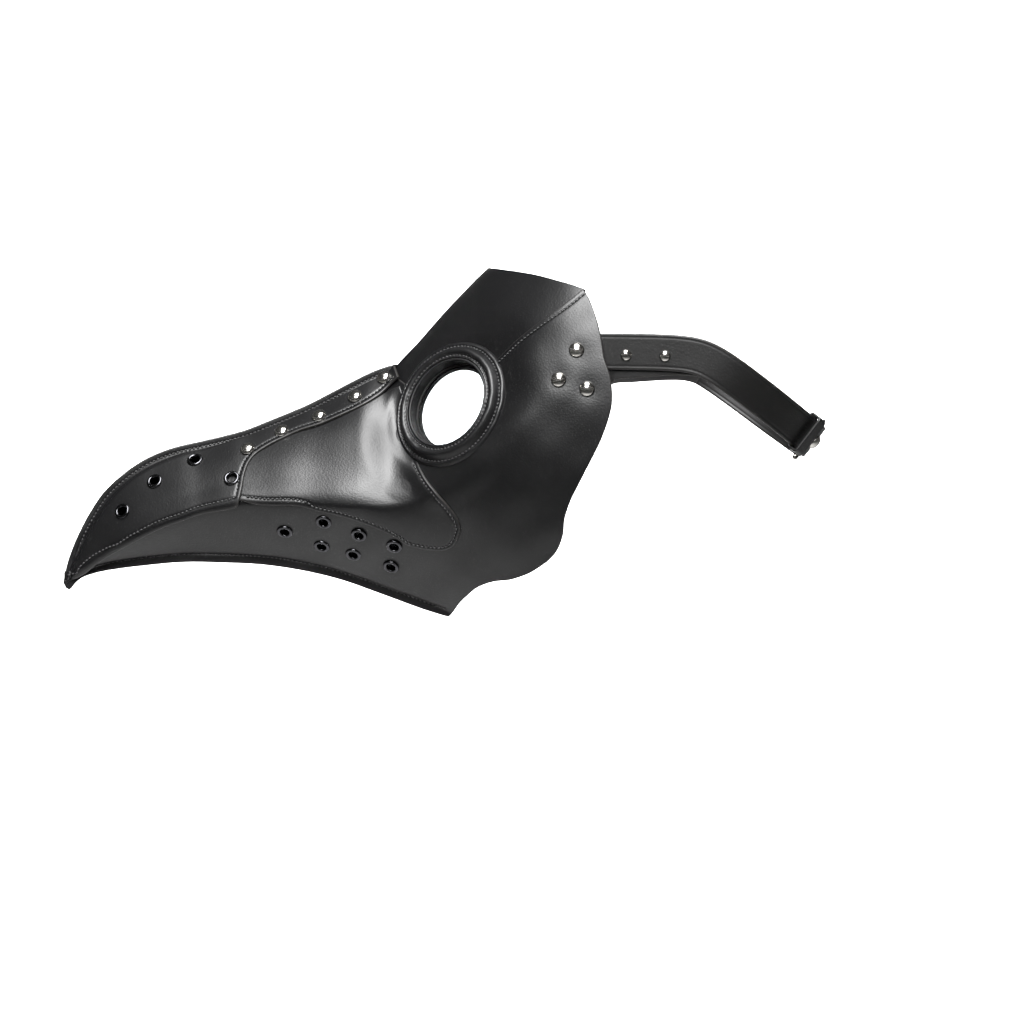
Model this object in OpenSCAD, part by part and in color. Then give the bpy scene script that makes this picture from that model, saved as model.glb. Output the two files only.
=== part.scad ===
// Plague doctor mask: a long-beaked leather costume mask with round eye
// windows and a buckled head strap.
// The wearer faces -Y, the wearer's left side is +X, and +Z is up.
// The origin is the centre of the face opening.
// All sizes are in millimetres.

/* [Leather] */
// Thickness of the outer leather
leather_t = 1.6; // [1.2:0.1:1.8]
// Thickness of the lining
lining_t = 1.0; // [0.8:0.1:1.1]
// Thickness of the strap leather
strap_t = 2.0; // [1.6:0.1:2.2]

/* [Eye windows] */
// Outer radius of the padded eye ring
ring_r = 38.5; // [37:0.5:38.5]
// Radius of the clear eye opening
lens_open_r = 26; // [24:0.5:26]
// Depth of the eye cup behind the leather
cup_depth = 4.5; // [4.5:0.5:8]

/* [Metal fittings] */
// Diameter of the domed rivets
rivet_d = 9; // [7:0.5:9.5]
// Outer diameter of the eyelets
eyelet_d = 9.6; // [8.5:0.1:10]
// Diameter of the hole through an eyelet
eyelet_hole_d = 4.8; // [4:0.1:5]

/* [Strap] */
// Width of the head strap
strap_w = 21; // [18:1:22]
// Height of the strap where it leaves the temples
strap_z = 51; // [48:1:53]
// Slope of the strap down to the back of the head, in degrees
strap_slope = 38; // [20:1:40]
// Distance of the strap behind the face opening
strap_back = 148; // [140:1:160]

/* [Hidden] */
$fn = 48;

// ---- Curves through a few points ----

function clamp01(t) = max(0, min(1, t));
function ease(t) = let (k = clamp01(t)) k * k * (3 - 2 * k);
function lerp(a, b, t) = a + (b - a) * t;
function steps(n) = [for (i = [0:n]) i / n];

// Smooth value at x from knots [x, value]: a cubic through the knots,
// whose slope at each knot is that of the line between its neighbours.
function slope(k, i) =
    let (a = k[max(i - 1, 0)], b = k[min(i + 1, len(k) - 1)])
    (b[1] - a[1]) / (b[0] - a[0]);
function span(k, x, i = 0) = (i >= len(k) - 2 || x < k[i + 1][0]) ? i : span(k, x, i + 1);
function curve(k, x) =
    let (
        c = max(k[0][0], min(k[len(k) - 1][0], x)),
        i = span(k, c),
        d = k[i + 1][0] - k[i][0],
        t = (c - k[i][0]) / d,
        m0 = slope(k, i) * d,
        m1 = slope(k, i + 1) * d
    )
    (2 * t^3 - 3 * t^2 + 1) * k[i][1] + (t^3 - 2 * t^2 + t) * m0
    + (3 * t^2 - 2 * t^3) * k[i + 1][1] + (t^3 - t^2) * m1;

// A path through [y, z] points, followed by its share of chord length
function reach(p) =
    [for (i = 0, s = 0; i < len(p); s = s + norm(p[min(i + 1, len(p) - 1)] - p[i]), i = i + 1) s];
function path(p) =
    let (s = reach(p), total = s[len(s) - 1])
    [for (k = [0, 1]) [for (i = [0:len(p) - 1]) [s[i] / total, p[i][k]]]];
function at(track, t) = [curve(track[0], t), curve(track[1], t)];

// ---- The head form: half-width as a function of y and z ----

// Height of the top ridge and the forehead midline
ridge_knots = [
    [-285, -78], [-282.5, -70], [-276, -54], [-267, -38.5], [-257, -27], [-241.5, -16], [-222, -8],
    [-207.8, -4.9], [-184, 1], [-166, 7.8], [-145, 17], [-125, 27], [-103, 38.5], [-97, 42.5],
    [-92.4, 47.6], [-82.7, 58], [-58.5, 84.8], [-40, 103], [-20, 117], [0, 128], [30, 140]
];
// Height of the bottom keel, and of the imagined line on under the jaw
keel_knots = [
    [-285, -80], [-278, -75.5], [-266, -71.6], [-254, -69.6], [-232, -67.2], [-208, -66],
    [-185, -67.1], [-162, -69.2], [-139, -73.7], [-116, -81], [-93, -89.3], [-69.5, -98],
    [-58, -104], [-49, -110], [-32, -125], [0, -150], [30, -165]
];
// Height at which the mask is widest
widest_knots = [
    [-285, -79], [-267, -66], [-254, -58.5], [-232, -48.5], [-208, -41], [-184, -36.5],
    [-151, -36.5], [-118, -38], [-97, -38], [-70, -30], [-40, -12], [0, 5], [30, 10]
];
// Half-width at that height
width_knots = [
    [-285, 2.2], [-280, 4.5], [-267, 9.5], [-250, 16], [-225, 22], [-200, 26], [-184, 28.5],
    [-151, 34], [-118, 40], [-97, 44], [-70, 51], [-40, 67], [-20, 75], [0, 79], [30, 82]
];
// Roundness of the section above and below that height
upper_knots = [[-285, 1.5], [-206, 1.8], [-118, 1.9], [-97, 1.6], [-70, 1.4], [-40, 1.5], [0, 2], [30, 2]];
crown_knots = [[-285, 1], [-97, 1], [-84, 0.82], [-66, 0.62], [-45, 0.52], [0, 0.5], [30, 0.5]];
lower_knots = [[-285, 1.2], [-120, 1.25], [-97, 1.35], [-58, 1.6], [-36, 1.8], [0, 2], [30, 2]];
// How far the beak flares out over its seam
flare_knots = [[-285, 0], [-240, 1], [-184, 2.2], [-120, 2.2], [-90, 0.6], [-70, 0], [30, 0]];

eye_c = [41, -62.4, 19.9];
eye_yaw = 37.2;
eye_pitch = 19.3;
eye_n = [cos(eye_pitch) * cos(eye_yaw), -cos(eye_pitch) * sin(eye_yaw), sin(eye_pitch)];
eye_flat_r = ring_r - 1;
eye_blend_r = 66;

function bare_width(y, z) =
    let (
        top = curve(ridge_knots, y),
        mid = curve(widest_knots, y),
        low = curve(keel_knots, y),
        w = curve(width_knots, y),
        f = curve(flare_knots, y),
        s = clamp01((top - z) / (top - mid)),
        q = clamp01((z - low) / (mid - low))
    )
    z > mid
    ? w * (1 - (1 - s)^curve(upper_knots, y))^curve(crown_knots, y) + f * ease((s - 0.7) / 0.3)
    : (w + f) * (1 - (1 - q)^curve(lower_knots, y));

// The leather lies flat under the eye ring and eases back to the form round it.
function half_width(y, z) =
    let (
        bare = bare_width(y, z),
        flat = eye_c.x - (eye_n.y * (y - eye_c.y) + eye_n.z * (z - eye_c.z)) / eye_n.x,
        r = norm([flat, y, z] - eye_c),
        k = clamp01((eye_blend_r - r) / (eye_blend_r - eye_flat_r))^2 * ease(bare / 9)
    )
    lerp(bare, flat, k);

function normal(y, z) =
    let (
        e = 0.5,
        fy = (half_width(y + e, z) - half_width(y - e, z)) / (2 * e),
        fz = (half_width(y, z + e) - half_width(y, z - e)) / (2 * e),
        n = [1, -fy, -fz]
    )
    n / norm(n);

// The point h outside the form, on the left half
function skin(p, h) = [half_width(p[0], p[1]), p[0], p[1]] + h * normal(p[0], p[1]);

// ---- Panel outlines, as [y, z] seen from the side ----

ridge_drop = 2.6;
function under_ridge(ys) = [for (y = ys) [y, curve(ridge_knots, y) - ridge_drop * ease((y + 287) / 8)]];
function over_keel(ys) = [for (y = ys) [y, curve(keel_knots, y) + ridge_drop * ease((y + 289) / 14)]];

rear_edge = path([
    [-7.2, -70.3], [-1.9, -64.3], [1.7, -55], [2.6, -45.7], [6.1, -35], [11.4, -24.4], [17.5, -12.4],
    [23.4, -0.4], [28.1, 12.9], [29.8, 22.2], [28.8, 35.6], [25.4, 46.2], [24.1, 55.5], [21.5, 67.5],
    [16.8, 80.8], [13.5, 86.1]
]);
side_low = path(concat(
    over_keel([-284, -278, -266, -250, -232, -208, -185, -162, -139, -116, -93, -76]),
    [[-67.5, -96.8], [-62.5, -97.2], [-57.8, -93], [-53, -89], [-47.2, -85], [-37.8, -81.7],
     [-30.5, -81], [-24.5, -79.6], [-16.5, -76.3], [-7.2, -70.3]]
));
side_top = path(concat(
    under_ridge([-284, -281, -276, -267, -257, -241, -222, -207, -184, -166, -145, -125, -103]),
    [[-96.5, 37], [-84, 29], [-73, 24], [-60, 24], [-50, 33], [-43, 40.2], [-35.1, 46.9],
     [-23.2, 58.2], [-11.2, 67.5], [0.1, 75.5], [13.5, 86.1]]
));

beak_panel_low = path([
    [-186.8, -37.4], [-181, -36.4], [-169.4, -36.9], [-151, -37.4], [-139.3, -40.2], [-127.6, -42.4],
    [-116, -45.8], [-104.4, -50.2], [-96, -54.6], [-88.2, -59.6], [-81.5, -61.3], [-73.8, -62.4],
    [-66, -62.4], [-60.4, -59.6], [-56.6, -51.3]
]);
beak_panel_top = path([
    [-186.8, -17], [-181, -8.5], [-172, -2], [-162.5, 3], [-151, 8], [-139.3, 12], [-127.6, 17], [-116, 22.5],
    [-104.4, 28]
]);
beak_panel_rear = path([
    [-56.6, -51.3], [-58.2, -45.2], [-63.8, -37.4], [-70.5, -30.2], [-76, -24.1], [-80.4, -17.5],
    [-84.2, -13.8], [-89, -10.2], [-93.6, -5.2], [-98, 3], [-101, 14], [-104.4, 28]
]);

cover_low = path([
    [-284, -77.6], [-276, -71], [-266.8, -67.3], [-254.4, -60.6], [-243.5, -55], [-232, -49.7],
    [-220, -45.6], [-208.8, -41.9], [-197.4, -39.4], [-186.6, -37], [-185.2, -35.2], [-183.9, -30],
    [-182.9, -22.8], [-180.3, -15.5], [-176.7, -10.9], [-171.5, -7.3], [-162.5, -2.5], [-151, 2.5],
    [-139.3, 6.4], [-127.6, 11.4], [-116, 16.9], [-104.4, 24.1], [-96, 31.4]
]);
cover_top = path(under_ridge(
    [-283.6, -281, -276, -267, -257, -241, -222, -207, -184, -166, -145, -125, -103, -95.5]
));

// The first point of each is on the midline.
brow_low = [
    [-96.5, 0], [-94.5, 36.5], [-84, 26], [-73, 21], [-60, 21], [-50, 29.5], [-42, 36.5], [-33, 44.4],
    [-21, 55.5], [-9, 64.8], [3, 73], [14, 82.5]
];
brow_top = [
    [-42, 0], [-39.5, 101], [-33, 99.8], [-24, 98.2], [-14, 96], [-2, 92.5], [14.4, 86.8]
];

// ---- Sheets: a grid of points given thickness ----

// A panel ruled between its low and top outlines. Its end is drawn out to the
// rear outline, and that pull fades with the cube of the share along the panel.
function spread(low, top, u, v) = lerp(at(low, u), at(top, u), v);
function drawn(low, top, rear, u, v) =
    spread(low, top, u, v) + u^3 * (at(rear, v) - lerp(at(low, 1), at(top, 1), v));

// The solid between two grids of points of the same shape, outer and inner.
module sheet(outer, inner) {
    rows = len(outer);
    cols = len(outer[0]);
    count = rows * cols;
    function id(i, j, k = 0) = k * count + i * cols + j;
    function quad(a, b, c, d) = [[a, b, c], [a, c, d]];
    faces = [
        for (i = [0:rows - 2], j = [0:cols - 2])
            each quad(id(i, j), id(i, j + 1), id(i + 1, j + 1), id(i + 1, j)),
        for (i = [0:rows - 2], j = [0:cols - 2])
            each quad(id(i, j, 1), id(i + 1, j, 1), id(i + 1, j + 1, 1), id(i, j + 1, 1)),
        for (i = [0:rows - 2]) each quad(id(i, 0), id(i + 1, 0), id(i + 1, 0, 1), id(i, 0, 1)),
        for (i = [0:rows - 2])
            each quad(id(i, cols - 1, 1), id(i + 1, cols - 1, 1), id(i + 1, cols - 1), id(i, cols - 1)),
        for (j = [0:cols - 2]) each quad(id(0, j, 1), id(0, j + 1, 1), id(0, j + 1), id(0, j)),
        for (j = [0:cols - 2])
            each quad(id(rows - 1, j), id(rows - 1, j + 1), id(rows - 1, j + 1, 1), id(rows - 1, j, 1))
    ];
    polyhedron(points = concat([for (r = outer) each r], [for (r = inner) each r]), faces = faces);
}

module panel(plan, inner_h, outer_h) {
    sheet(
        [for (row = plan) [for (p = row) skin(p, outer_h)]],
        [for (row = plan) [for (p = row) skin(p, inner_h)]]
    );
}

module both(side) {
    if (side == "left") children();
    else mirror([1, 0, 0]) children();
}

// ---- Placing round parts on the form ----

// Turns +Z to direction n
module facing(n) {
    rotate([0, acos(n.z), atan2(n.y, n.x)]) children();
}
module on_skin(p, h = 0) {
    translate(skin(p, h)) facing(normal(p[0], p[1])) children();
}
module at_eye() {
    translate(eye_c) facing(eye_n) children();
}

// ---- Leather panels ----

layer_gap = 0.5;
lining_gap = 0.3;
overlay_low = leather_t + layer_gap + 0.25;
overlay_top = overlay_low + 1.3;
vents = [
    [-160, -52], [-137, -46.5], [-138.5, -60.5], [-116.5, -54], [-120, -65.3], [-96, -60.7], [-98, -72.5]
];
tip_places = [[-254, -42.5], [-235.5, -25.5], [-212.5, -13.5], [-190, -24.5]];
ridge_places = [[-181, -8.5], [-161, 2], [-139, 11], [-118, 22.5], [-101, 34]];
temple_places = [[9.5, 51], [-0.8, 34], [15.4, 28.7]];
drill_d = eyelet_hole_d + 1.2;

module eye_hole() {
    at_eye() cylinder(r = lens_open_r + 1.8, h = 40, center = true);
}
module drill(places, h) {
    for (p = places) on_skin(p, h) cylinder(d = drill_d, h = 9, center = true);
}

// Leather and lining share one grid, so their faces lie parallel.
function side_plan(us, vs) = [for (u = us) [for (v = vs) drawn(side_low, side_top, rear_edge, u, v)]];
module side_panel(side) {
    plan = side_plan(steps(42), steps(13));
    color([0.06, 0.06, 0.065]) both(side) difference() {
        panel(plan, 0, leather_t);
        eye_hole();
        drill(vents, 0);
        drill(tip_places, 0);
    }
}

// The lining stops short of the panel's edges.
module side_lining(side) {
    plan = side_plan([for (i = [2:41]) i / 42], [for (j = [1:12]) j / 13]);
    color([0.12, 0.12, 0.12]) both(side) difference() {
        panel(plan, -lining_gap - lining_t, -lining_gap);
        eye_hole();
        drill(vents, 0);
        drill(tip_places, 0);
    }
}

module beak_panel(side) {
    plan = [for (u = steps(24)) [for (v = steps(11))
        drawn(beak_panel_low, beak_panel_top, beak_panel_rear, u, v)]];
    color([0.07, 0.07, 0.075]) both(side) panel(plan, overlay_low, overlay_top);
}

// The cover lies on the side panel at the tip and climbs over the beak panel.
function cover_rise(y) = lerp(overlay_low, overlay_top + layer_gap, ease((y + 206) / 14));
module beak_cover(side) {
    plan = [for (u = steps(40)) [for (v = steps(6)) spread(cover_low, cover_top, u, v)]];
    color([0.07, 0.07, 0.075]) both(side) difference() {
        sheet(
            [for (row = plan) [for (p = row) skin(p, cover_rise(p[0]) + leather_t)]],
            [for (row = plan) [for (p = row) skin(p, cover_rise(p[0]))]]
        );
        drill(tip_places, 3);
    }
}

// The forehead crosses the midline, so its grid uses [y, q]: q is the signed
// square root of the share of the way down from the midline to the widest level.
function depth_share(y, z) =
    let (top = curve(ridge_knots, y), mid = curve(widest_knots, y)) sqrt(max(0, (top - z) / (top - mid)));
function brow_track(list) =
    path([for (i = [0:len(list) - 1]) [list[i][0], i == 0 ? 0 : 100 * depth_share(list[i][0], list[i][1])]]);
function midline_normal(y) =
    let (n = [0, -(curve(ridge_knots, y + 1) - curve(ridge_knots, y - 1)) / 2, 1]) n / norm(n);
function brow_point(low, top, u, v, h) =
    let (
        c = lerp(at(low, abs(u)), at(top, abs(u)), v),
        q = max(c[1] / 100, 0.04),
        z = lerp(curve(ridge_knots, c[0]), curve(widest_knots, c[0]), q * q),
        p = skin([c[0], z], h),
        centre = [0, c[0], curve(ridge_knots, c[0])] + h * midline_normal(c[0])
    )
    abs(u) < 0.001 ? centre : [sign(u) * max(p.x, 0.3), p.y, p.z];
module brow_sheet(inner_h, outer_h, us, vs) {
    low = brow_track(brow_low);
    top = brow_track(brow_top);
    sheet(
        [for (u = us) [for (v = vs) brow_point(low, top, u, v, outer_h)]],
        [for (u = us) [for (v = vs) brow_point(low, top, u, v, inner_h)]]
    );
}

module forehead_panel() {
    color([0.05, 0.05, 0.055]) difference() {
        brow_sheet(-layer_gap - leather_t, -layer_gap, [for (i = [-16:16]) i / 16], steps(9));
        for (side = ["left", "right"]) both(side) eye_hole();
    }
}
module forehead_lining() {
    lining_top = -layer_gap - leather_t - lining_gap;
    color([0.12, 0.12, 0.12]) difference() {
        brow_sheet(lining_top - lining_t, lining_top, [for (i = [-14:14]) i / 16], [for (j = [1:8]) j / 9]);
        for (side = ["left", "right"]) both(side) eye_hole();
    }
}

// ---- Sewn edges along the ridge and the keel ----

welt_half_t = 1.7;
welt_inset = 1;
ridge_outer = [
    [-290.6, -83], [-290, -78.7], [-287.5, -69.4], [-284.4, -61], [-280.3, -51.8], [-275, -42],
    [-266.8, -30], [-254.4, -18.6], [-244, -11.6], [-233.7, -6.7], [-223.3, -3.3], [-208.8, 0],
    [-185.6, 5.8], [-168.4, 12.4], [-147, 21.4], [-127.6, 31.4], [-111, 39.8], [-101.5, 43.4], [-96, 44.4]
];
keel_outer = [
    [-290.6, -83], [-287, -87.2], [-283.4, -83], [-278.7, -79.8], [-266.8, -76.4], [-244, -73.3],
    [-220, -71.2], [-197.4, -71.5], [-174.8, -72.6], [-151, -76], [-127.6, -81.6], [-104.4, -89.8],
    [-81.2, -98.3], [-65, -103.1]
];
module welt(outer, inner) {
    run = path(outer);
    color([0.05, 0.05, 0.05]) rotate([90, 0, 90]) translate([0, 0, -welt_half_t])
        linear_extrude(2 * welt_half_t) polygon(concat([for (t = steps(44)) at(run, t)], inner));
}
module ridge_welt() {
    ys = [-96, -103, -114, -125, -145, -166, -184, -207, -222, -241, -257, -267, -276, -282];
    welt(ridge_outer, concat([for (y = ys) [y, curve(ridge_knots, y) - welt_inset]], [[-285.5, -78.4]]));
}
module keel_welt() {
    ys = [-69, -80, -93, -116, -139, -162, -185, -208, -232, -254, -266, -277];
    welt(keel_outer, concat(
        [[-63.2, -100.6]], [for (y = ys) [y, curve(keel_knots, y) + welt_inset]], [[-284.8, -79.2]]
    ));
}

// ---- Eye windows ----

cup_wall = 1.4;
lens_t = 1.6;
lens_depth = 0.6;
gasket_t = 0.8;
retainer_t = 1.2;
seat_r = lens_open_r + cup_wall - 0.35;
lens_z = -lens_depth - gasket_t - lens_t;

module turned(profile) {
    rotate_extrude() polygon(profile);
}
// A padded leather ring: a stitched flange outside and a rolled rim inside.
module eye_ring(side) {
    r = ring_r;
    i = lens_open_r + cup_wall + 0.1;
    base = overlay_low;
    color([0.05, 0.05, 0.05]) both(side) at_eye() turned([
        [i, base], [r - 0.4, base], [r, base + 0.5], [r, base + 1.3], [r - 0.5, base + 1.8],
        [r - 3.6, base + 2.0], [r - 4.2, base + 2.6], [r - 5.4, base + 4.2], [r - 7.2, base + 5.2],
        [r - 8.8, base + 5.2], [r - 10, base + 4.6], [i, base + 3.6]
    ]);
}
module eye_cup(side) {
    i = lens_open_r;
    o = i + cup_wall;
    color([0.1, 0.1, 0.1]) both(side) at_eye() turned([
        [i, -lens_depth], [i, 5.6], [i + 0.4, 6], [o, 6], [o, -cup_depth], [o - 0.3, -cup_depth],
        [o - 0.3, -lens_depth]
    ]);
}
module lens(side) {
    color([0.85, 0.88, 0.9, 0.35]) both(side) at_eye() translate([0, 0, lens_z])
        cylinder(r = seat_r, h = lens_t);
}
// A flat ring set into the cup, its top at height z
module cup_ring(side, z, t, bore_r) {
    both(side) at_eye() translate([0, 0, z - t]) difference() {
        cylinder(r = seat_r, h = t);
        translate([0, 0, -1]) cylinder(r = bore_r, h = t + 2);
    }
}
module lens_gasket(side) {
    color([0.15, 0.15, 0.15]) cup_ring(side, -lens_depth, gasket_t, lens_open_r - 1.2);
}
module lens_retainer(side) {
    color([0.3, 0.3, 0.3]) cup_ring(side, lens_z, retainer_t, lens_open_r - 1.5);
}

// ---- Rivets and eyelets ----

shank_r = 1.5;
// A domed rivet: its head sits at 0 and its shank runs down by grip.
module dome_rivet(d, grip) {
    r = d / 2;
    rise = 0.36 * d;
    turned(concat(
        [[0, -grip], [shank_r, -grip], [shank_r, 0], [r, 0], [r, 0.35]],
        [for (a = [15:15:75]) [r * cos(a), 0.35 + (rise - 0.35) * sin(a)]],
        [[0, rise]]
    ));
}
module washer(bore_r, d, t) {
    turned([[bore_r, -t], [d / 2, -t], [d / 2, -0.25], [d / 2 - 0.3, 0], [bore_r, 0]]);
}
// A rolled eyelet: its collar sits at 0 and its barrel runs down by grip.
module eyelet(grip) {
    i = eyelet_hole_d / 2;
    o = eyelet_d / 2;
    turned([
        [i, -grip], [i, 0.9], [i + 0.4, 1.3], [i + 1.1, 1.3], [o - 0.3, 0.5], [o, 0.05],
        [i + 0.5, 0.05], [i + 0.5, -grip]
    ]);
}
washer_lift = -lining_t - 0.7;
shank_bore = shank_r + 0.02;
barrel_bore = eyelet_hole_d / 2 + 0.55;
steel = [0.8, 0.8, 0.82];
gunmetal = [0.15, 0.15, 0.16];

module ridge_rivets(side) {
    color(steel) both(side) for (p = ridge_places) {
        h = cover_rise(p[0]) + leather_t + 0.1;
        on_skin(p, h) dome_rivet(rivet_d, h - washer_lift + 1.2);
    }
}
module ridge_washers(side) {
    color(steel) both(side) for (p = ridge_places) on_skin(p, washer_lift) washer(shank_bore, 6, 1);
}
module tip_eyelets(side) {
    color(steel) both(side) for (p = tip_places) {
        h = cover_rise(p[0]) + leather_t;
        on_skin(p, h) eyelet(h - washer_lift + 1);
    }
}
module tip_washers(side) {
    color(steel) both(side) for (p = tip_places) on_skin(p, washer_lift) washer(barrel_bore, 8, 0.8);
}
module vent_eyelets(side) {
    color(gunmetal) both(side) for (p = vents) on_skin(p, leather_t) eyelet(leather_t - washer_lift + 1);
}
module vent_washers(side) {
    color(gunmetal) both(side) for (p = vents) on_skin(p, washer_lift) washer(barrel_bore, 9, 0.8);
}

// ---- Head strap ----

tab_out = lining_t + 0.9;
tab_in = tab_out + 1.8;
hinge_y = 32;
tab_end = hinge_y - 1.3;
strap_start = hinge_y + 1.3;
tab_low = path([[-15, 31], [-9, 25], [2, 22], [16, 21.5], [24, 27], [tab_end, strap_z - strap_w / 2 - 3]]);
tab_top = path([[-15, 40], [-9, 50], [2, 58], [14, 61], [24, 61.5], [tab_end, strap_z + strap_w / 2]]);

module strap_tab(side) {
    plan = [for (u = steps(8)) [for (v = steps(6)) spread(tab_low, tab_top, u, v)]];
    color([0.06, 0.06, 0.06]) both(side) panel(plan, -tab_in, -tab_out);
}
module temple_rivets(side) {
    color(steel) both(side) for (p = temple_places)
        on_skin(p, leather_t + 0.1) dome_rivet(rivet_d, leather_t + tab_in + 1.4);
}
module temple_washers(side) {
    color(steel) both(side) for (p = temple_places) on_skin(p, -tab_in - 0.2) washer(shank_bore, 7, 1);
}

// The strap seen from above: a straight run from the temple, a round corner
// and a straight run to the middle of the back. s is the length along it.
strap_side_x = 80.5;
strap_corner_r = 58;
corner_c = [strap_side_x - strap_corner_r, strap_back - strap_corner_r];
temple_x = half_width(strap_start, strap_z) - (tab_out + tab_in) / 2;
side_run = corner_c.y - strap_start;
corner_run = strap_corner_r * PI / 2;
strap_bend_y = 82;
strap_bend_soft = 12;
heel_x = 14;
tail_x = 18;
function strap_plan(s) =
    s < side_run ? [lerp(temple_x, strap_side_x, ease(s / side_run)), strap_start + s]
    : s < side_run + corner_run
    ? let (a = (s - side_run) / strap_corner_r * 180 / PI) corner_c + strap_corner_r * [cos(a), sin(a)]
    : [corner_c.x - (s - side_run - corner_run), strap_back];
function strap_drop(y) =
    let (d = y - strap_bend_y) tan(strap_slope) * (d + sqrt(d * d + strap_bend_soft^2)) / 2;
function strap_mid(s) = let (p = strap_plan(s)) [p.x, p.y, strap_z - strap_drop(p.y)];
function strap_along(s) = let (d = strap_mid(s + 0.5) - strap_mid(s - 0.5)) d / norm(d);
// The width direction tips back with the slope of the strap.
function strap_across(s) =
    let (
        y = strap_plan(s).y,
        g = strap_drop(y + 0.5) - strap_drop(y - 0.5),
        w = [0, g, 1] / norm([0, g, 1]),
        t = strap_along(s),
        v = w - (w * t) * t
    )
    v / norm(v);
function strap_out(s) = cross(strap_along(s), strap_across(s));
function strap_point(s, w, h) = strap_mid(s) + w * strap_across(s) + h * strap_out(s);
function strap_length(x_end) = side_run + corner_run + corner_c.x - x_end;

module on_strap(s, w = 0, h = 0) {
    a = strap_along(s);
    b = strap_across(s);
    c = strap_out(s);
    p = strap_point(s, w, h);
    multmatrix([[a.x, b.x, c.x, p.x], [a.y, b.y, c.y, p.y], [a.z, b.z, c.z, p.z], [0, 0, 0, 1]]) children();
}
function across_row(s, w, h) = [strap_point(s, -w, h), strap_point(s, w, h)];
module band(from, to, n, low_w, high_w, low, high) {
    ss = [for (k = steps(n)) lerp(from, to, k)];
    sheet(
        [for (s = ss) [strap_point(s, low_w, high), strap_point(s, high_w, high)]],
        [for (s = ss) [strap_point(s, low_w, low), strap_point(s, high_w, low)]]
    );
}

half_t = strap_t / 2;
half_w = strap_w / 2;
bar_r = 1.5;
fold_r = bar_r + 0.3;
bar_h = -half_t - fold_r;
heel_s = strap_length(heel_x);
tail_s = strap_length(tail_x);
fold_back = 26;

// The strap's end passes over the buckle's bar and folds back under itself.
// h is measured from the bar outward, and run along the strap.
function fold_row(h, run) = let (p = heel_s) [
    for (w = [-half_w, half_w]) strap_point(p, w, bar_h + h) + run * strap_along(p)
];
module left_strap() {
    over = [for (k = steps(44)) lerp(0, heel_s, k)];
    turn = [for (a = [15:15:165]) a];
    back = [for (k = steps(5)) k];
    function gap_under(k) = lerp(2 * fold_r, 0.3, ease(k * 1.6));
    outer = concat(
        [for (s = over) across_row(s, half_w, half_t)],
        [for (a = turn) fold_row((fold_r + strap_t) * cos(a), (fold_r + strap_t) * sin(a))],
        [for (k = back) across_row(heel_s - fold_back * k, half_w, -half_t - gap_under(k) - strap_t)]
    );
    inner = concat(
        [for (s = over) across_row(s, half_w, -half_t)],
        [for (a = turn) fold_row(fold_r * cos(a), fold_r * sin(a))],
        [for (k = back) across_row(heel_s - fold_back * k, half_w, -half_t - gap_under(k))]
    );
    color([0.05, 0.05, 0.05]) difference() {
        sheet(outer, inner);
        on_strap(heel_s) translate([0, 0, -5]) cube([15, 4, 20], center = true);
    }
}
hole_pitch = 12;
module right_strap() {
    color([0.05, 0.05, 0.05]) mirror([1, 0, 0]) difference() {
        band(0, tail_s, 44, -half_w, half_w, -half_t, half_t);
        for (k = [1:5]) on_strap(tail_s - 8 - hole_pitch * k) cylinder(d = 3, h = 9, center = true);
        on_strap(tail_s) for (w = [-1, 1]) translate([0, w * half_w, 0]) rotate(45)
            cube([9, 9, 9], center = true);
    }
}

backing_t = 1.6;
backing_low = -half_t - 0.2 - backing_t;
backing_len = 54;
// The backing is wider than the strap at the temple and tapers to its edge.
module strap_backing(side) {
    ss = [for (k = steps(12)) backing_len * k];
    function row(s, h) = [strap_point(s, -half_w - 5 * (1 - s / backing_len), h), strap_point(s, half_w, h)];
    color([0.06, 0.06, 0.06]) both(side)
        sheet([for (s = ss) row(s, -half_t - 0.2)], [for (s = ss) row(s, backing_low)]);
}
strap_rivet_s = [4.5, 27];
module strap_rivets(side) {
    color(steel) both(side) for (s = strap_rivet_s) on_strap(s, -2, half_t + 0.1)
        dome_rivet(6.5, half_t - backing_low + 1.5);
}
module strap_washers(side) {
    color(steel) both(side) for (s = strap_rivet_s) on_strap(s, -2, backing_low - 0.2)
        washer(shank_bore, 6, 1);
}

// The loop that holds the strap's loose end
keeper_s = heel_s - fold_back - 10;
keeper_len = 8;
module slab(w, low, high) {
    translate([0, -w / 2, low]) cube([keeper_len, w, high - low]);
}
module strap_keeper() {
    low = -half_t - 0.4;
    high = half_t + strap_t + 0.8;
    color([0.05, 0.05, 0.05]) on_strap(keeper_s) translate([-keeper_len / 2, 0, 0]) difference() {
        slab(strap_w + 4, low - 1.5, high + 1.5);
        translate([-1, 0, 0]) scale([1.25, 1, 1]) slab(strap_w + 1, low, high);
    }
}
fold_rivet_s = heel_s - 19;
module fold_rivet() {
    h = half_t + 0.1;
    color(steel) on_strap(fold_rivet_s, 0, h) dome_rivet(rivet_d, h + half_t + strap_t + 2.4);
}

// ---- Buckle: the frame turns on its own bar, and the prong turns on it ----

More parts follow.
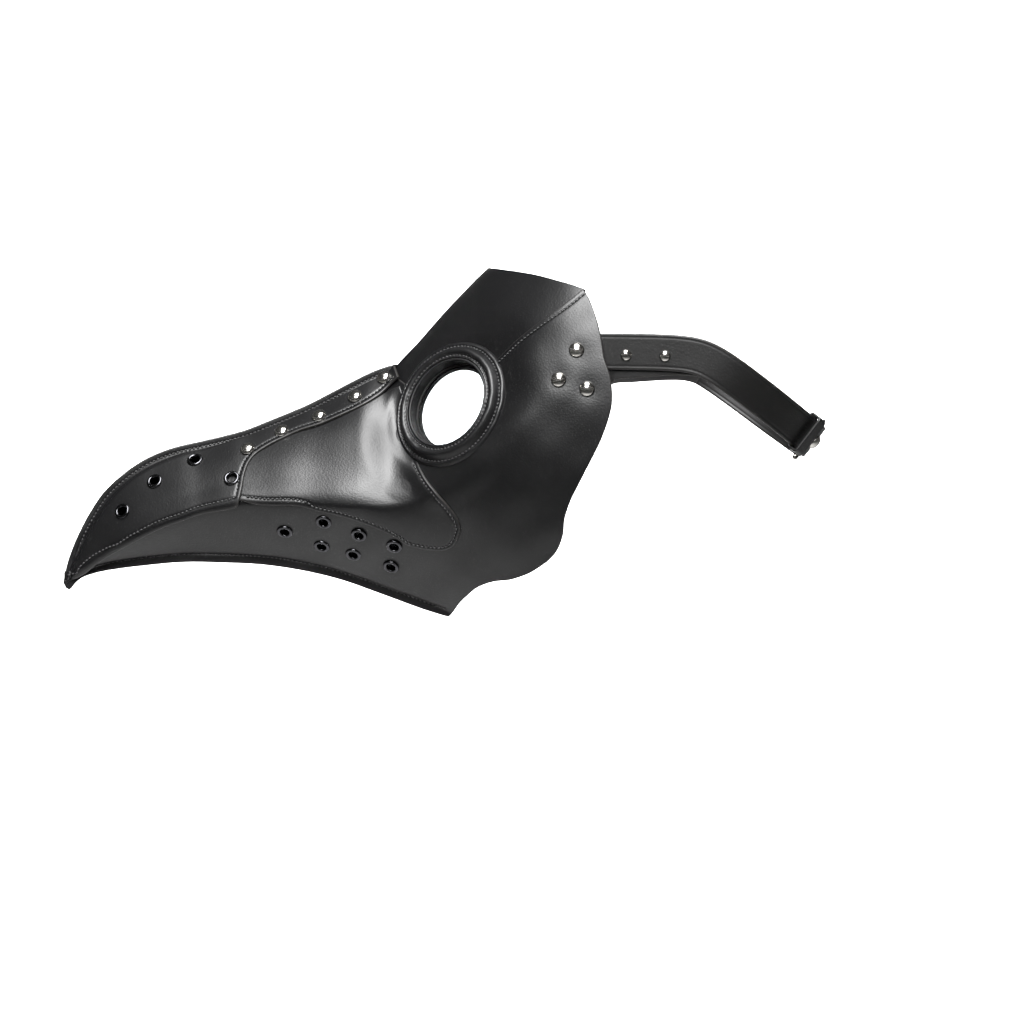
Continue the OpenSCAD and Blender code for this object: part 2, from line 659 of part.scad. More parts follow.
frame_t = 2.6;
frame_len = 19;
frame_inner_w = strap_w + 2.4;
frame_side = 3;
module at_bar() {
    on_strap(heel_s, 0, bar_h) children();
}
module rounded(x0, x1, w, r) {
    translate([x0 + r, -w / 2 + r]) square([x1 - x0 - 2 * r, w - 2 * r]);
    for (x = [x0 + r, x1 - r], y = [-w / 2 + r, w / 2 - r]) translate([x, y]) circle(r);
    translate([x0, -w / 2 + r]) square([x1 - x0, w - 2 * r]);
    translate([x0 + r, -w / 2]) square([x1 - x0 - 2 * r, w]);
}
module buckle_frame() {
    color(steel) at_bar() {
        translate([0, 0, -frame_t / 2]) linear_extrude(frame_t) difference() {
            rounded(-2.4, frame_len, frame_inner_w + 2 * frame_side, 4);
            rounded(-6, frame_len - frame_side, frame_inner_w, 2);
        }
        rotate([90, 0, 0]) cylinder(r = bar_r, h = frame_inner_w + frame_side, center = true);
    }
}
prong_w = 2.6;
module buckle_prong() {
    ring_r_out = bar_r + 1.5;
    color(steel) at_bar() rotate([90, 0, 0]) translate([0, 0, -prong_w / 2]) difference() {
        linear_extrude(prong_w) {
            circle(ring_r_out);
            polygon([[0, 1.6], [frame_len - 3, 1.5], [frame_len - 1, 1.7], [frame_len - 1, 2.6],
                     [frame_len - 4, 3], [0, ring_r_out]]);
        }
        translate([0, 0, -1]) cylinder(r = bar_r + 0.15, h = prong_w + 2);
    }
}

// ---- The sub-parts ----

forehead_panel();
forehead_lining();
ridge_welt();
keel_welt();
left_strap();
right_strap();
strap_keeper();
fold_rivet();
buckle_frame();
buckle_prong();
side_panel("left");  // left_side_panel
side_panel("right");  // right_side_panel
side_lining("left");  // left_side_lining
side_lining("right");  // right_side_lining
beak_panel("left");  // left_beak_panel
beak_panel("right");  // right_beak_panel
beak_cover("left");  // left_beak_cover
beak_cover("right");  // right_beak_cover
eye_ring("left");  // left_eye_ring
eye_ring("right");  // right_eye_ring
eye_cup("left");  // left_eye_cup
eye_cup("right");  // right_eye_cup
lens("left");  // left_lens
lens("right");  // right_lens
lens_gasket("left");  // left_lens_gasket
lens_gasket("right");  // right_lens_gasket
lens_retainer("left");  // left_lens_retainer
lens_retainer("right");  // right_lens_retainer
ridge_rivets("left");  // left_ridge_rivets
ridge_rivets("right");  // right_ridge_rivets
ridge_washers("left");  // left_ridge_washers
ridge_washers("right");  // right_ridge_washers
tip_eyelets("left");  // left_tip_eyelets
tip_eyelets("right");  // right_tip_eyelets
tip_washers("left");  // left_tip_washers
tip_washers("right");  // right_tip_washers
vent_eyelets("left");  // left_vent_eyelets
vent_eyelets("right");  // right_vent_eyelets
vent_washers("left");  // left_vent_washers
vent_washers("right");  // right_vent_washers
temple_rivets("left");  // left_temple_rivets
temple_rivets("right");  // right_temple_rivets
temple_washers("left");  // left_temple_washers
temple_washers("right");  // right_temple_washers
strap_tab("left");  // left_strap_tab
strap_tab("right");  // right_strap_tab
strap_backing("left");  // left_strap_backing
strap_backing("right");  // right_strap_backing
strap_rivets("left");  // left_strap_rivets
strap_rivets("right");  // right_strap_rivets
strap_washers("left");  // left_strap_washers
strap_washers("right");  // right_strap_washers
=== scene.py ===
# %% [markdown]
# # A plague doctor mask in leather, nickel and clear acrylic
#
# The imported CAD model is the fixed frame: it holds every part's place and every joint. This lesson
# builds the looks on it. Almost everything on the mask is leather bent over one form, so the form is
# written once, as the half-width of the mask at a given length and height, and each panel is a grid of
# points lifted off it. Lengths below are millimetres, as the maker of a mask would think of them, and
# turn to metres in one place.

# %% Load the frame
import math

import bpy
import numpy as np
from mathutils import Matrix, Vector


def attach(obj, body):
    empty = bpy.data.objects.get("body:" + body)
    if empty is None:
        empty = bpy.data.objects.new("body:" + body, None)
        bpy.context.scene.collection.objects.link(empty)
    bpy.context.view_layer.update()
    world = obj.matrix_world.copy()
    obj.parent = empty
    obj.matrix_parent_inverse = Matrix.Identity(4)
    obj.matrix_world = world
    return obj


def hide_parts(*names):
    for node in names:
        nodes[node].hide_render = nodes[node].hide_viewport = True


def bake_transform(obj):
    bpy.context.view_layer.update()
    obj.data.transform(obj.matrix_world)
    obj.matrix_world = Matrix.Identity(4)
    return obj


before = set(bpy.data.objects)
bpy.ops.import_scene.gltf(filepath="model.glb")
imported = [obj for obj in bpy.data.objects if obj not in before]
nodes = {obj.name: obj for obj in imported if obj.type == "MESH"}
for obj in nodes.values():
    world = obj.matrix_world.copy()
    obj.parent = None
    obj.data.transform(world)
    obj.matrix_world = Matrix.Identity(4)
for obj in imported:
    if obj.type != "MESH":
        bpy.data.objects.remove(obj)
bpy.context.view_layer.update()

# %% [markdown]
# ## Materials
#
# A material starts from the real finish. Colours are sRGB hex values turned to linear by one function,
# and one small function adds a shader node with its settings and links. The patterns read Object
# coordinates, whose unit is the metre, so a pattern of a size in millimetres has the scale 1000 / size.

# %% Colours and nodes
def linear(hex_colour):
    """sRGB hex to linear RGBA: ((c + 0.055) / 1.055) ^ 2.4 for each channel, or c / 12.92 when dark."""
    c = np.array([int(hex_colour[i:i + 2], 16) for i in (1, 3, 5)]) / 255
    c = np.where(c > 0.04045, ((c + 0.055) / 1.055) ** 2.4, c / 12.92)
    return (*c, 1.0)


def add(tree, kind, settings=None, **links):
    """Adds a node. Settings are properties or input values; a link goes to the input of that name."""
    n = tree.nodes.new("ShaderNode" + kind)
    for name, value in (settings or {}).items():
        if isinstance(name, int) or name in n.inputs:
            n.inputs[name].default_value = value
        else:
            setattr(n, name, value)
    for name, output in links.items():
        socket = n.inputs[int(name[1:])] if name[0] == "_" else n.inputs[name.replace("_", " ")]
        tree.links.new(output, socket)
    return n


def finish_of(name, build):
    """A material whose surface is the shader that build(tree, coordinates) returns."""
    m = bpy.data.materials.new(name)
    m.use_nodes = True
    tree = m.node_tree
    tree.nodes.clear()
    shader = build(tree, add(tree, "TexCoord").outputs["Object"])
    add(tree, "OutputMaterial", Surface=shader.outputs[0])
    return m


def per_mm(size):
    """The scale of a pattern whose features are this many millimetres apart."""
    return 1000 / size


def between(tree, low, high, share):
    """The colour that lies this share of the way between two sRGB colours."""
    settings = {"data_type": "RGBA", 6: linear(low), 7: linear(high)}
    return add(tree, "Mix", settings, _0=share).outputs[2]


# %% [markdown]
# **Coated leather.** The panels are black leather with a thin pigmented coat, embossed with a fine grain
# and rubbed to a satin. Small closed cells, about 1.1 mm across, are the grain; a slower noise changes
# the gloss where hands and rubbing have polished it; and cut edges, marked by the attribute `edge`, are
# a little paler and rougher because the coat is missing there.

# %% Leather
def leather_build(base, worn, rough, grain_mm, grain_depth_mm):
    def build(tree, at):
        cells = add(tree, "TexVoronoi", {"feature": "SMOOTH_F1", "Scale": per_mm(grain_mm),
                                         "Smoothness": 0.35, "Randomness": 0.95}, Vector=at)
        creases = add(tree, "TexNoise", {"Scale": per_mm(6), "Detail": 5.0, "Roughness": 0.62}, Vector=at)
        polish = add(tree, "TexNoise", {"Scale": per_mm(34), "Detail": 3.0, "Roughness": 0.5}, Vector=at)
        edge = add(tree, "Attribute", {"attribute_name": "edge"})
        wear = add(tree, "Math", {"operation": "MULTIPLY"}, _0=edge.outputs["Fac"], _1=creases.outputs["Fac"])
        shade = add(tree, "MapRange", {"From Min": 0.3, "From Max": 0.7, "To Min": 0.0, "To Max": 0.45},
                    Value=polish.outputs["Fac"])
        tone = between(tree, base, worn, shade.outputs[0])
        cut = add(tree, "Mix", {"data_type": "RGBA", 7: linear("#3a3836")}, _0=wear.outputs[0], _6=tone)
        gloss = add(tree, "MapRange", {"From Min": 0.3, "From Max": 0.7, "To Min": rough + 0.06,
                                       "To Max": rough - 0.05}, Value=polish.outputs["Fac"])
        dull = add(tree, "Math", {"operation": "MULTIPLY_ADD", 1: 0.3}, _0=wear.outputs[0],
                   _2=gloss.outputs[0])
        fine = add(tree, "Bump", {"Strength": 0.55, "Distance": grain_depth_mm / 1000},
                   Height=cells.outputs["Distance"])
        bumps = add(tree, "Bump", {"Strength": 0.35, "Distance": 0.00016},
                    Height=creases.outputs["Fac"], Normal=fine.outputs[0])
        return add(tree, "BsdfPrincipled", {"IOR": 1.46, "Coat Weight": 0.1, "Coat Roughness": 0.25},
                   Base_Color=cut.outputs[2], Roughness=dull.outputs[0], Normal=bumps.outputs[0])
    return build


panel_leather = finish_of("coated_leather_embossed", leather_build("#0b0b0c", "#131314", 0.38, 1.1, 0.09))
ring_leather = finish_of("thin_leather_over_foam", leather_build("#0a0a0b", "#121213", 0.42, 0.9, 0.06))
strap_leather = finish_of("strap_leather_waxed", leather_build("#0b0b0b", "#151414", 0.46, 1.3, 0.08))


# %% [markdown]
# **Cloth, thread, plastic, rubber and acrylic.** The lining is a plain weave: two sets of waves at right
# angles give the threads, drawn 1.2 mm apart so that they show. The thread of the seams is waxed and
# twisted, and gets a fine slanting wave. The eye cup is moulded ABS with a fine spark-eroded texture,
# the gasket a closed-cell rubber, and the window a polished acrylic sheet.

# %% Cloth, thread and mouldings
def weave_build(tree, at):
    warp = add(tree, "TexWave", {"wave_type": "BANDS", "bands_direction": "Z", "Scale": per_mm(1.2) / 6.28,
                                 "Distortion": 0.6, "Detail": 1.0}, Vector=at)
    weft = add(tree, "TexWave", {"wave_type": "BANDS", "bands_direction": "Y", "Scale": per_mm(1.2) / 6.28,
                                 "Distortion": 0.6, "Detail": 1.0}, Vector=at)
    threads = add(tree, "Math", {"operation": "MAXIMUM"}, _0=warp.outputs["Fac"], _1=weft.outputs["Fac"])
    fade = add(tree, "TexNoise", {"Scale": per_mm(18), "Detail": 4.0}, Vector=at)
    shade = add(tree, "Math", {"operation": "MULTIPLY"}, _0=threads.outputs[0], _1=fade.outputs["Fac"])
    tone = between(tree, "#151516", "#343436", shade.outputs[0])
    bump = add(tree, "Bump", {"Strength": 0.6, "Distance": 0.0002}, Height=threads.outputs[0])
    return add(tree, "BsdfPrincipled", {"Roughness": 0.88, "Sheen Weight": 0.25, "Sheen Roughness": 0.5},
               Base_Color=tone, Normal=bump.outputs[0])


def thread_build(tree, at):
    twist = add(tree, "TexWave", {"wave_type": "BANDS", "bands_direction": "DIAGONAL",
                                  "Scale": per_mm(0.5) / 6.28, "Distortion": 0.3}, Vector=at)
    tone = between(tree, "#1c1c1c", "#4a4a4b", twist.outputs["Fac"])
    bump = add(tree, "Bump", {"Strength": 0.5, "Distance": 0.00008}, Height=twist.outputs["Fac"])
    return add(tree, "BsdfPrincipled", {"Roughness": 0.5}, Base_Color=tone, Normal=bump.outputs[0])


def moulded_build(low, high, rough, grit_mm):
    def build(tree, at):
        grit = add(tree, "TexNoise", {"Scale": per_mm(grit_mm), "Detail": 3.0}, Vector=at)
        cloud = add(tree, "TexNoise", {"Scale": per_mm(20), "Detail": 2.0}, Vector=at)
        tone = between(tree, low, high, cloud.outputs["Fac"])
        gloss = add(tree, "MapRange", {"To Min": rough - 0.06, "To Max": rough + 0.06},
                    Value=grit.outputs["Fac"])
        bump = add(tree, "Bump", {"Strength": 0.3, "Distance": 0.00005}, Height=grit.outputs["Fac"])
        return add(tree, "BsdfPrincipled", {}, Base_Color=tone, Roughness=gloss.outputs[0],
                   Normal=bump.outputs[0])
    return build


def acrylic_build(tree, at):
    haze = add(tree, "TexNoise", {"Scale": per_mm(9), "Detail": 3.0}, Vector=at)
    smear = add(tree, "MapRange", {"From Min": 0.4, "From Max": 0.8, "To Min": 0.0, "To Max": 0.05},
                Value=haze.outputs["Fac"])
    return add(tree, "BsdfPrincipled", {"Base Color": linear("#f4f7f8"), "IOR": 1.49,
                                        "Transmission Weight": 1.0}, Roughness=smear.outputs[0])


lining_cloth = finish_of("plain_weave_polyester", weave_build)
seam_thread = finish_of("waxed_thread_twisted", thread_build)
cup_abs = finish_of("abs_moulded_textured", moulded_build("#0e0e0f", "#1a1a1b", 0.5, 0.5))
gasket_rubber = finish_of("rubber_closed_cell", moulded_build("#0a0a0a", "#161616", 0.8, 0.7))
lens_acrylic = finish_of("acrylic_sheet_polished", acrylic_build)


# %% [markdown]
# ** Metal.** The domed rivets are stamped steel with bright nickel plate, the vent eyelets have a dark nickel
# plate, and the washers inside are plain pressed steel. The tip eyelets are bright nickel too, but take the
# dark plate as painted reflection: its dark colour stands for the dim room mirrored in them. A plate's gloss
# is even, so what tells it from a mirror is a faint haze of handling and hairlines, drawn by two noises.

# %% Plated metal
def plate_build(low, high, rough):
    def build(tree, at):
        haze = add(tree, "TexNoise", {"Scale": per_mm(5), "Detail": 4.0, "Roughness": 0.6}, Vector=at)
        stretch = add(tree, "Mapping", {"Scale": (1.0, 0.12, 1.0)}, Vector=at)
        lines = add(tree, "TexNoise", {"Scale": per_mm(0.8), "Detail": 3.0}, Vector=stretch.outputs[0])
        tone = between(tree, low, high, haze.outputs["Fac"])
        both = add(tree, "Math", {"operation": "MULTIPLY"}, _0=haze.outputs["Fac"], _1=lines.outputs["Fac"])
        gloss = add(tree, "MapRange", {"From Max": 0.5, "To Min": rough - 0.04, "To Max": rough + 0.14},
                    Value=both.outputs[0])
        bump = add(tree, "Bump", {"Strength": 0.12, "Distance": 0.00004}, Height=lines.outputs["Fac"])
        return add(tree, "BsdfPrincipled", {"Metallic": 1.0}, Base_Color=tone,
                   Roughness=gloss.outputs[0], Normal=bump.outputs[0])
    return build


nickel = finish_of("nickel_plate_bright", plate_build("#b9b6b0", "#dcdad5", 0.12))
# Dark plate: the vent eyelets' own finish; on the tip eyelets it is painted reflection, a dark colour
# standing for the dim room mirrored in bright nickel.
dark_nickel_and_painted_reflection = finish_of("nickel_plate_black_and_painted_reflection", plate_build("#3a3a3c", "#5c5c5f", 0.14))
pressed_steel = finish_of("steel_pressed_washer", plate_build("#85858a", "#a9a9ad", 0.36))
zinc_nickel = finish_of("zinc_casting_nickelled", plate_build("#a8a6a1", "#cfccc6", 0.18))
print("materials:", len(bpy.data.materials))

# %% [markdown]
# ## The form
#
# The mask is symmetric, so its shape is one number at each length y and height z: how far the leather
# stands from the middle plane. Seven gentle curves give it. Two are the ridge and the keel, seen from
# the side. One is the height at which the section is widest, one the half-width there, and the rest say
# how round the section is above and below, and how far the beak's side panel flares over its seam.

# %% Curves through a few points
def curve(knots, x):
    """The cubic through knots [x, value]; its slope at one is that of the line between its neighbours."""
    k = np.asarray(knots, float)
    gap = np.diff(k[:, 0])
    slope = np.empty(len(k))
    slope[1:-1] = (k[2:, 1] - k[:-2, 1]) / (k[2:, 0] - k[:-2, 0])
    slope[[0, -1]] = (k[1, 1] - k[0, 1]) / gap[0], (k[-1, 1] - k[-2, 1]) / gap[-1]
    x = np.clip(x, k[0, 0], k[-1, 0])
    i = np.clip(np.searchsorted(k[:, 0], x, side="right") - 1, 0, len(k) - 2)
    t = (x - k[i, 0]) / gap[i]
    return ((2 * t**3 - 3 * t**2 + 1) * k[i, 1] + (t**3 - 2 * t**2 + t) * slope[i] * gap[i]
            + (3 * t**2 - 2 * t**3) * k[i + 1, 1] + (t**3 - t**2) * slope[i + 1] * gap[i])


def ease(t):
    """0 to 1 with no jolt at either end: 3 t squared less 2 t cubed."""
    t = np.clip(t, 0, 1)
    return t * t * (3 - 2 * t)


def lerp(a, b, t):
    return a + (b - a) * t


def track(points):
    """A path through [y, z] points as two curves of the share of its chord length."""
    p = np.asarray(points, float)
    s = np.concatenate([[0], np.cumsum(np.linalg.norm(np.diff(p, axis=0), axis=1))])
    return np.stack([s / s[-1], p[:, 0]], 1), np.stack([s / s[-1], p[:, 1]], 1)


def at(path, t):
    """The points [y, z] at these shares of a track."""
    return np.stack([curve(path[0], t), curve(path[1], t)], -1)


# %% The form's curves
RIDGE = [(-285, -78), (-282.5, -70), (-276, -54), (-267, -38.5), (-257, -27), (-241.5, -16), (-222, -8),
         (-207.8, -4.9), (-184, 1), (-166, 7.8), (-145, 17), (-125, 27), (-103, 38.5), (-97, 42.5),
         (-92.4, 47.6), (-82.7, 58), (-58.5, 84.8), (-40, 103), (-20, 117), (0, 128), (30, 140)]
KEEL = [(-285, -80), (-278, -75.5), (-266, -71.6), (-254, -69.6), (-232, -67.2), (-208, -66), (-185, -67.1),
        (-162, -69.2), (-139, -73.7), (-116, -81), (-93, -89.3), (-69.5, -98), (-58, -104), (-49, -110),
        (-32, -125), (0, -150), (30, -165)]
WIDEST = [(-285, -79), (-267, -66), (-254, -58.5), (-232, -48.5), (-208, -41), (-184, -36.5), (-151, -36.5),
          (-118, -38), (-97, -38), (-70, -30), (-40, -12), (0, 5), (30, 10)]
WIDTH = [(-285, 2.2), (-280, 4.5), (-267, 9.5), (-250, 16), (-225, 22), (-200, 26), (-184, 28.5),
         (-151, 34), (-118, 40), (-97, 44), (-70, 51), (-40, 67), (-20, 75), (0, 79), (30, 82)]
UPPER = [(-285, 1.5), (-206, 1.8), (-118, 1.9), (-97, 1.6), (-70, 1.4), (-40, 1.5), (0, 2), (30, 2)]
CROWN = [(-285, 1), (-97, 1), (-84, 0.82), (-66, 0.62), (-45, 0.52), (0, 0.5), (30, 0.5)]
LOWER = [(-285, 1.2), (-120, 1.25), (-97, 1.35), (-58, 1.6), (-36, 1.8), (0, 2), (30, 2)]
FLARE = [(-285, 0), (-240, 1), (-184, 2.2), (-120, 2.2), (-90, 0.6), (-70, 0), (30, 0)]

EYE = np.array([41, -62.4, 19.9])
yaw, pitch = math.radians(37.2), math.radians(19.3)
EYE_OUT = np.array([math.cos(pitch) * math.cos(yaw), -math.cos(pitch) * math.sin(yaw), math.sin(pitch)])
RING_R = 38.5
EYE_BLEND_R = 66


def bare_width(y, z):
    """Half-width before sewing. Above the widest level, w times (1 - (1 - s) ^ a) ^ c, where s is the
    share of the way down from the ridge; below it, (w + flare) times 1 - (1 - q) ^ b, where q is the
    share up from the keel. Beyond the ridge and the keel it goes on below zero."""
    top, mid, low, w, flare = (curve(k, y) for k in (RIDGE, WIDEST, KEEL, WIDTH, FLARE))
    s = (top - z) / (top - mid)
    q = (z - low) / (mid - low)
    rise = 1 - np.abs(1 - np.minimum(s, 1)) ** curve(UPPER, y)
    above = w * np.sign(rise) * np.abs(rise) ** curve(CROWN, y) + flare * ease((s - 0.7) / 0.3)
    below = (w + flare) * (1 - np.abs(1 - np.minimum(q, 1)) ** curve(LOWER, y))
    return np.where(z > mid, above, below)


SEAM_HALF = 0.6


def half_width(y, z):
    """The leather lies flat under the eye ring and leaves that flat with the square of the share of the
    way out to 66 mm. Towards the ridge and the keel the two sides meet in a sewn seam: a smooth maximum
    of the form and the seam's half thickness."""
    bare = bare_width(y, z)
    flat = EYE[0] - (EYE_OUT[1] * (y - EYE[1]) + EYE_OUT[2] * (z - EYE[2])) / EYE_OUT[0]
    r = np.sqrt((flat - EYE[0]) ** 2 + (y - EYE[1]) ** 2 + (z - EYE[2]) ** 2)
    k = np.clip((EYE_BLEND_R - r) / (EYE_BLEND_R - RING_R + 1), 0, 1) ** 2 * ease(bare / 9)
    w = lerp(bare, flat, k)
    sewn = (w + SEAM_HALF + np.sqrt((w - SEAM_HALF) ** 2 + 1.6**2)) / 2
    seam_end = np.where(z > curve(WIDEST, y), ease((y + 100) / 8), ease((y + 62) / 6))
    return lerp(sewn, np.maximum(w, 0), seam_end)


def normal(y, z, e=0.4):
    """The form's outward direction, from the slopes of the half-width."""
    fy = (half_width(y + e, z) - half_width(y - e, z)) / (2 * e)
    fz = (half_width(y, z + e) - half_width(y, z - e)) / (2 * e)
    n = np.stack([np.ones_like(fy), -fy, -fz], -1)
    return n / np.linalg.norm(n, axis=-1, keepdims=True)


def skin(p, h):
    """The points h outside the form, on the left half, for points p = [y, z]."""
    p = np.asarray(p, float)
    y, z = p[..., 0], p[..., 1]
    return np.stack([half_width(y, z), y, z], -1) + np.asarray(h)[..., None] * normal(y, z)


print("half-width at the temple:", round(float(half_width(np.array(25.0), np.array(20.0))), 1), "mm")


# %% [markdown]
# ## Meshes from grids
#
# A panel is two grids of points, its outer and its inner face, joined by a wall round the edge. Every
# mesh is built from whole arrays. The right side is the left with x turned to -x and the order of each
# face's corners reversed, so that its faces still look outward.

# %% Objects
SIDES = ("left", "right")


def new_object(name, points, faces, finish, edge=None, crease_deg=50):
    """An object at the origin, from points in millimetres and arrays of faces of 3 or 4 corners."""
    mesh = bpy.data.meshes.new(name)
    loops = np.concatenate([f.ravel() for f in faces]).astype(np.int32)
    sizes = np.concatenate([np.full(len(f), f.shape[1]) for f in faces])
    mesh.vertices.add(len(points))
    mesh.vertices.foreach_set("co", (points / 1000).astype(np.float32).ravel())
    mesh.loops.add(len(loops))
    mesh.loops.foreach_set("vertex_index", loops)
    mesh.polygons.add(len(sizes))
    mesh.polygons.foreach_set("loop_start", np.concatenate([[0], np.cumsum(sizes)[:-1]]).astype(np.int32))
    mesh.update(calc_edges=True)
    if edge is not None:
        mesh.attributes.new("edge", "FLOAT", "POINT").data.foreach_set("value", edge.astype(np.float32))
    mesh.polygons.foreach_set("use_smooth", np.ones(len(sizes), bool))
    mesh.set_sharp_from_angle(angle=math.radians(crease_deg))
    mesh.materials.append(finish)
    o = bpy.data.objects.new(name, mesh)
    bpy.context.scene.collection.objects.link(o)
    return o


def rounding(d, radius):
    """How far a rounded edge has dropped at a distance d inside it: r - sqrt(r^2 - (r - d)^2)."""
    return radius - np.sqrt(radius**2 - (radius - np.minimum(d, radius)) ** 2)


def strips(k, nxt):
    """Quads between the rows of a grid of point numbers and the same grid moved on by one column."""
    return np.stack([k[:-1].ravel(), nxt[:-1].ravel(), nxt[1:].ravel(), k[1:].ravel()], 1)


def mirrored(points, faces):
    return points * np.array([-1, 1, 1]), [f[:, ::-1] for f in faces]


def shell(outer, inner):
    """Points and faces of the closed sheet between two grids; it looks outward where the first
    direction of the grid, the second one and the outside make a right hand."""
    nu, nv = outer.shape[:2]
    k = np.arange(nu * nv).reshape(nu, nv)
    m = k + nu * nv

    def quads(a, b, c, d):
        return np.stack([a.ravel(), b.ravel(), c.ravel(), d.ravel()], 1)

    faces = [quads(k[:-1, :-1], k[1:, :-1], k[1:, 1:], k[:-1, 1:]),
             quads(m[:-1, :-1], m[:-1, 1:], m[1:, 1:], m[1:, :-1]),
             quads(k[:-1, 0], m[:-1, 0], m[1:, 0], k[1:, 0]),
             quads(k[:-1, -1], k[1:, -1], m[1:, -1], m[:-1, -1]),
             quads(k[0, :-1], k[0, 1:], m[0, 1:], m[0, :-1]),
             quads(k[-1, 1:], k[-1, :-1], m[-1, :-1], m[-1, 1:])]
    return np.concatenate([outer.reshape(-1, 3), inner.reshape(-1, 3)]), [np.concatenate(faces)]


def distance(points, line, chunk=3000):
    """How far each point is from the nearest segment of a line."""
    flat = points.reshape(-1, points.shape[-1]).astype(np.float32)
    a = line[:-1].astype(np.float32)
    d = (line[1:] - line[:-1]).astype(np.float32)
    size = np.maximum((d * d).sum(-1), 1e-9)
    found = []
    for part in np.array_split(flat, len(flat) // chunk + 1):
        v = part[:, None] - a
        t = np.clip((v * d).sum(-1) / size, 0, 1)
        found.append(np.sqrt(((v - t[..., None] * d) ** 2).sum(-1).min(1)))
    return np.concatenate(found).reshape(points.shape[:-1])


def unit(v):
    return v / np.linalg.norm(v, axis=-1, keepdims=True)


def even(line, step):
    """The points and directions every step along a line, starting half a step in."""
    s = np.concatenate([[0], np.cumsum(np.linalg.norm(np.diff(line, axis=0), axis=1))])
    count = max(int(s[-1] / step), 1)
    want = (np.arange(count) + 0.5) * s[-1] / count
    p = np.stack([np.interp(want, s, line[:, i]) for i in range(line.shape[1])], 1)
    q = np.stack([np.interp(want + 0.3, s, line[:, i]) - np.interp(want - 0.3, s, line[:, i])
                  for i in range(line.shape[1])], 1)
    return p, unit(q)


# %% [markdown]
# ## Panels
#
# A panel is ruled between its low and top outlines, and its end is drawn out to the rear outline. Its
# rows lie closer together near the edges, at fixed distances, so that the rounded edge and the stitched
# groove keep their shape where the panel is narrow.

# %% Ruled panels
FINE = np.array([0, 0.1, 0.25, 0.45, 0.7, 1.0, 1.4, 1.85, 2.3, 2.7, 3.1, 3.6, 4.3, 5.2, 6.3])


def spaced(length, count, fine=FINE):
    """Shares of a length: the fine distances in from both ends, and even steps between."""
    length = np.asarray(length, float)[..., None]
    near = fine * np.minimum(1 / length, 0.36 / fine[-1])
    start = near[..., -1:]
    middle = start + (1 - 2 * start) * (np.arange(1, count) / count)
    return np.concatenate([near, middle, 1 - near[..., ::-1]], -1)


def ruled(low, top, rear, nu, nv):
    """Points [y, z] = low(u) + v (top(u) - low(u)) + u^3 (rear(v) - the ruled end), u and v 0 to 1."""
    u = spaced(300.0, nu)[:, None]
    length = np.linalg.norm(at(top, u) - at(low, u), axis=-1)[:, 0]
    v = spaced(np.maximum(length, 3.0), nv)
    plan = lerp(at(low, u), at(top, u), v[..., None])
    if rear is not None:
        end = lerp(at(low, np.ones_like(v)), at(top, np.ones_like(v)), v[..., None])
        plan = plan + (u**3)[..., None] * (at(rear, v) - end)
    return plan


def rim_of(grid):
    return np.concatenate([grid[:, 0], grid[-1, 1:], grid[-2::-1, -1], grid[0, -2::-1]])


def waves(p, seed, height, shortest=22, longest=70, count=9):
    """A gentle unevenness: height times a sum of seeded sines of [y, z], over the root of their count."""
    rng = np.random.default_rng(seed)
    size = rng.uniform(shortest, longest, count)
    turn = rng.uniform(0, np.pi, count)
    phase = rng.uniform(0, 2 * np.pi, count)
    wave = np.stack([np.cos(turn), np.sin(turn)], 1) * (2 * np.pi / size)[:, None]
    return height * np.sin(p @ wave.T + phase).sum(-1) / math.sqrt(count)


def inset_line(edge, inward, inset):
    """A line on the form, inset from an outline; inward is +1 where inside is to the line's left."""
    d = unit(np.gradient(edge, axis=0))
    n = inward * np.stack([-d[:, 1], d[:, 0]], 1)
    y, z = edge[:, 0], edge[:, 1]
    slope = half_width(y + n[:, 0], z + n[:, 1]) - half_width(y, z)
    return edge + n * (inset / np.sqrt(1 + np.clip(slope, -3, 3) ** 2))[:, None]


def groove(grid, lines, depth, width=0.55):
    """The dip along sewn lines: depth times exp(-(distance / width) ^ 2)."""
    away = np.min([distance(grid, line) for line in lines], axis=0)
    return depth * np.exp(-((away / width) ** 2))


def flange_share(p):
    """1 where the sides are sewn flat together, easing to 0 where the form is 3.5 mm from the middle."""
    y, z = p[..., 0], p[..., 1]
    end = np.where(z > curve(WIDEST, y), -92, -60)
    return ease(1 - bare_width(y, z) / 3.5) * ease((end - y) / 3)


EDGE_ROUND = 0.75
FLANGE_FACE = 1.1


def leather_sheet(plan, inner_h, outer_h, lines, relief, on_top=0):
    """A panel's points, faces and edge share. Heights are off the form; in a sewn flange they close up
    to the seam's core. The outer edge is rounded."""
    flange = flange_share(plan)
    base = skin(plan, np.zeros(flange.shape))
    from_rim = distance(base, rim_of(base))
    drop = rounding(from_rim, EDGE_ROUND)
    dip = groove(base, lines, 0.42)
    outer = lerp(outer_h, FLANGE_FACE + on_top, flange) - drop * 0.9 - dip + relief
    inner = lerp(inner_h, 0.02 + on_top, flange) + np.minimum(relief, 0) + 0.2 * drop
    edge = np.exp(-((from_rim / 0.5) ** 2))
    points, faces = shell(skin(plan, outer), skin(plan, inner))
    return points, faces, np.concatenate([edge.ravel(), edge.ravel()])


def settle(o, replaced, body=None):
    """Hides the CAD nodes that a piece takes the place of, and hangs it on the body that it rides on."""
    for node in replaced:
        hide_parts(node)
    if body:
        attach(o, body)


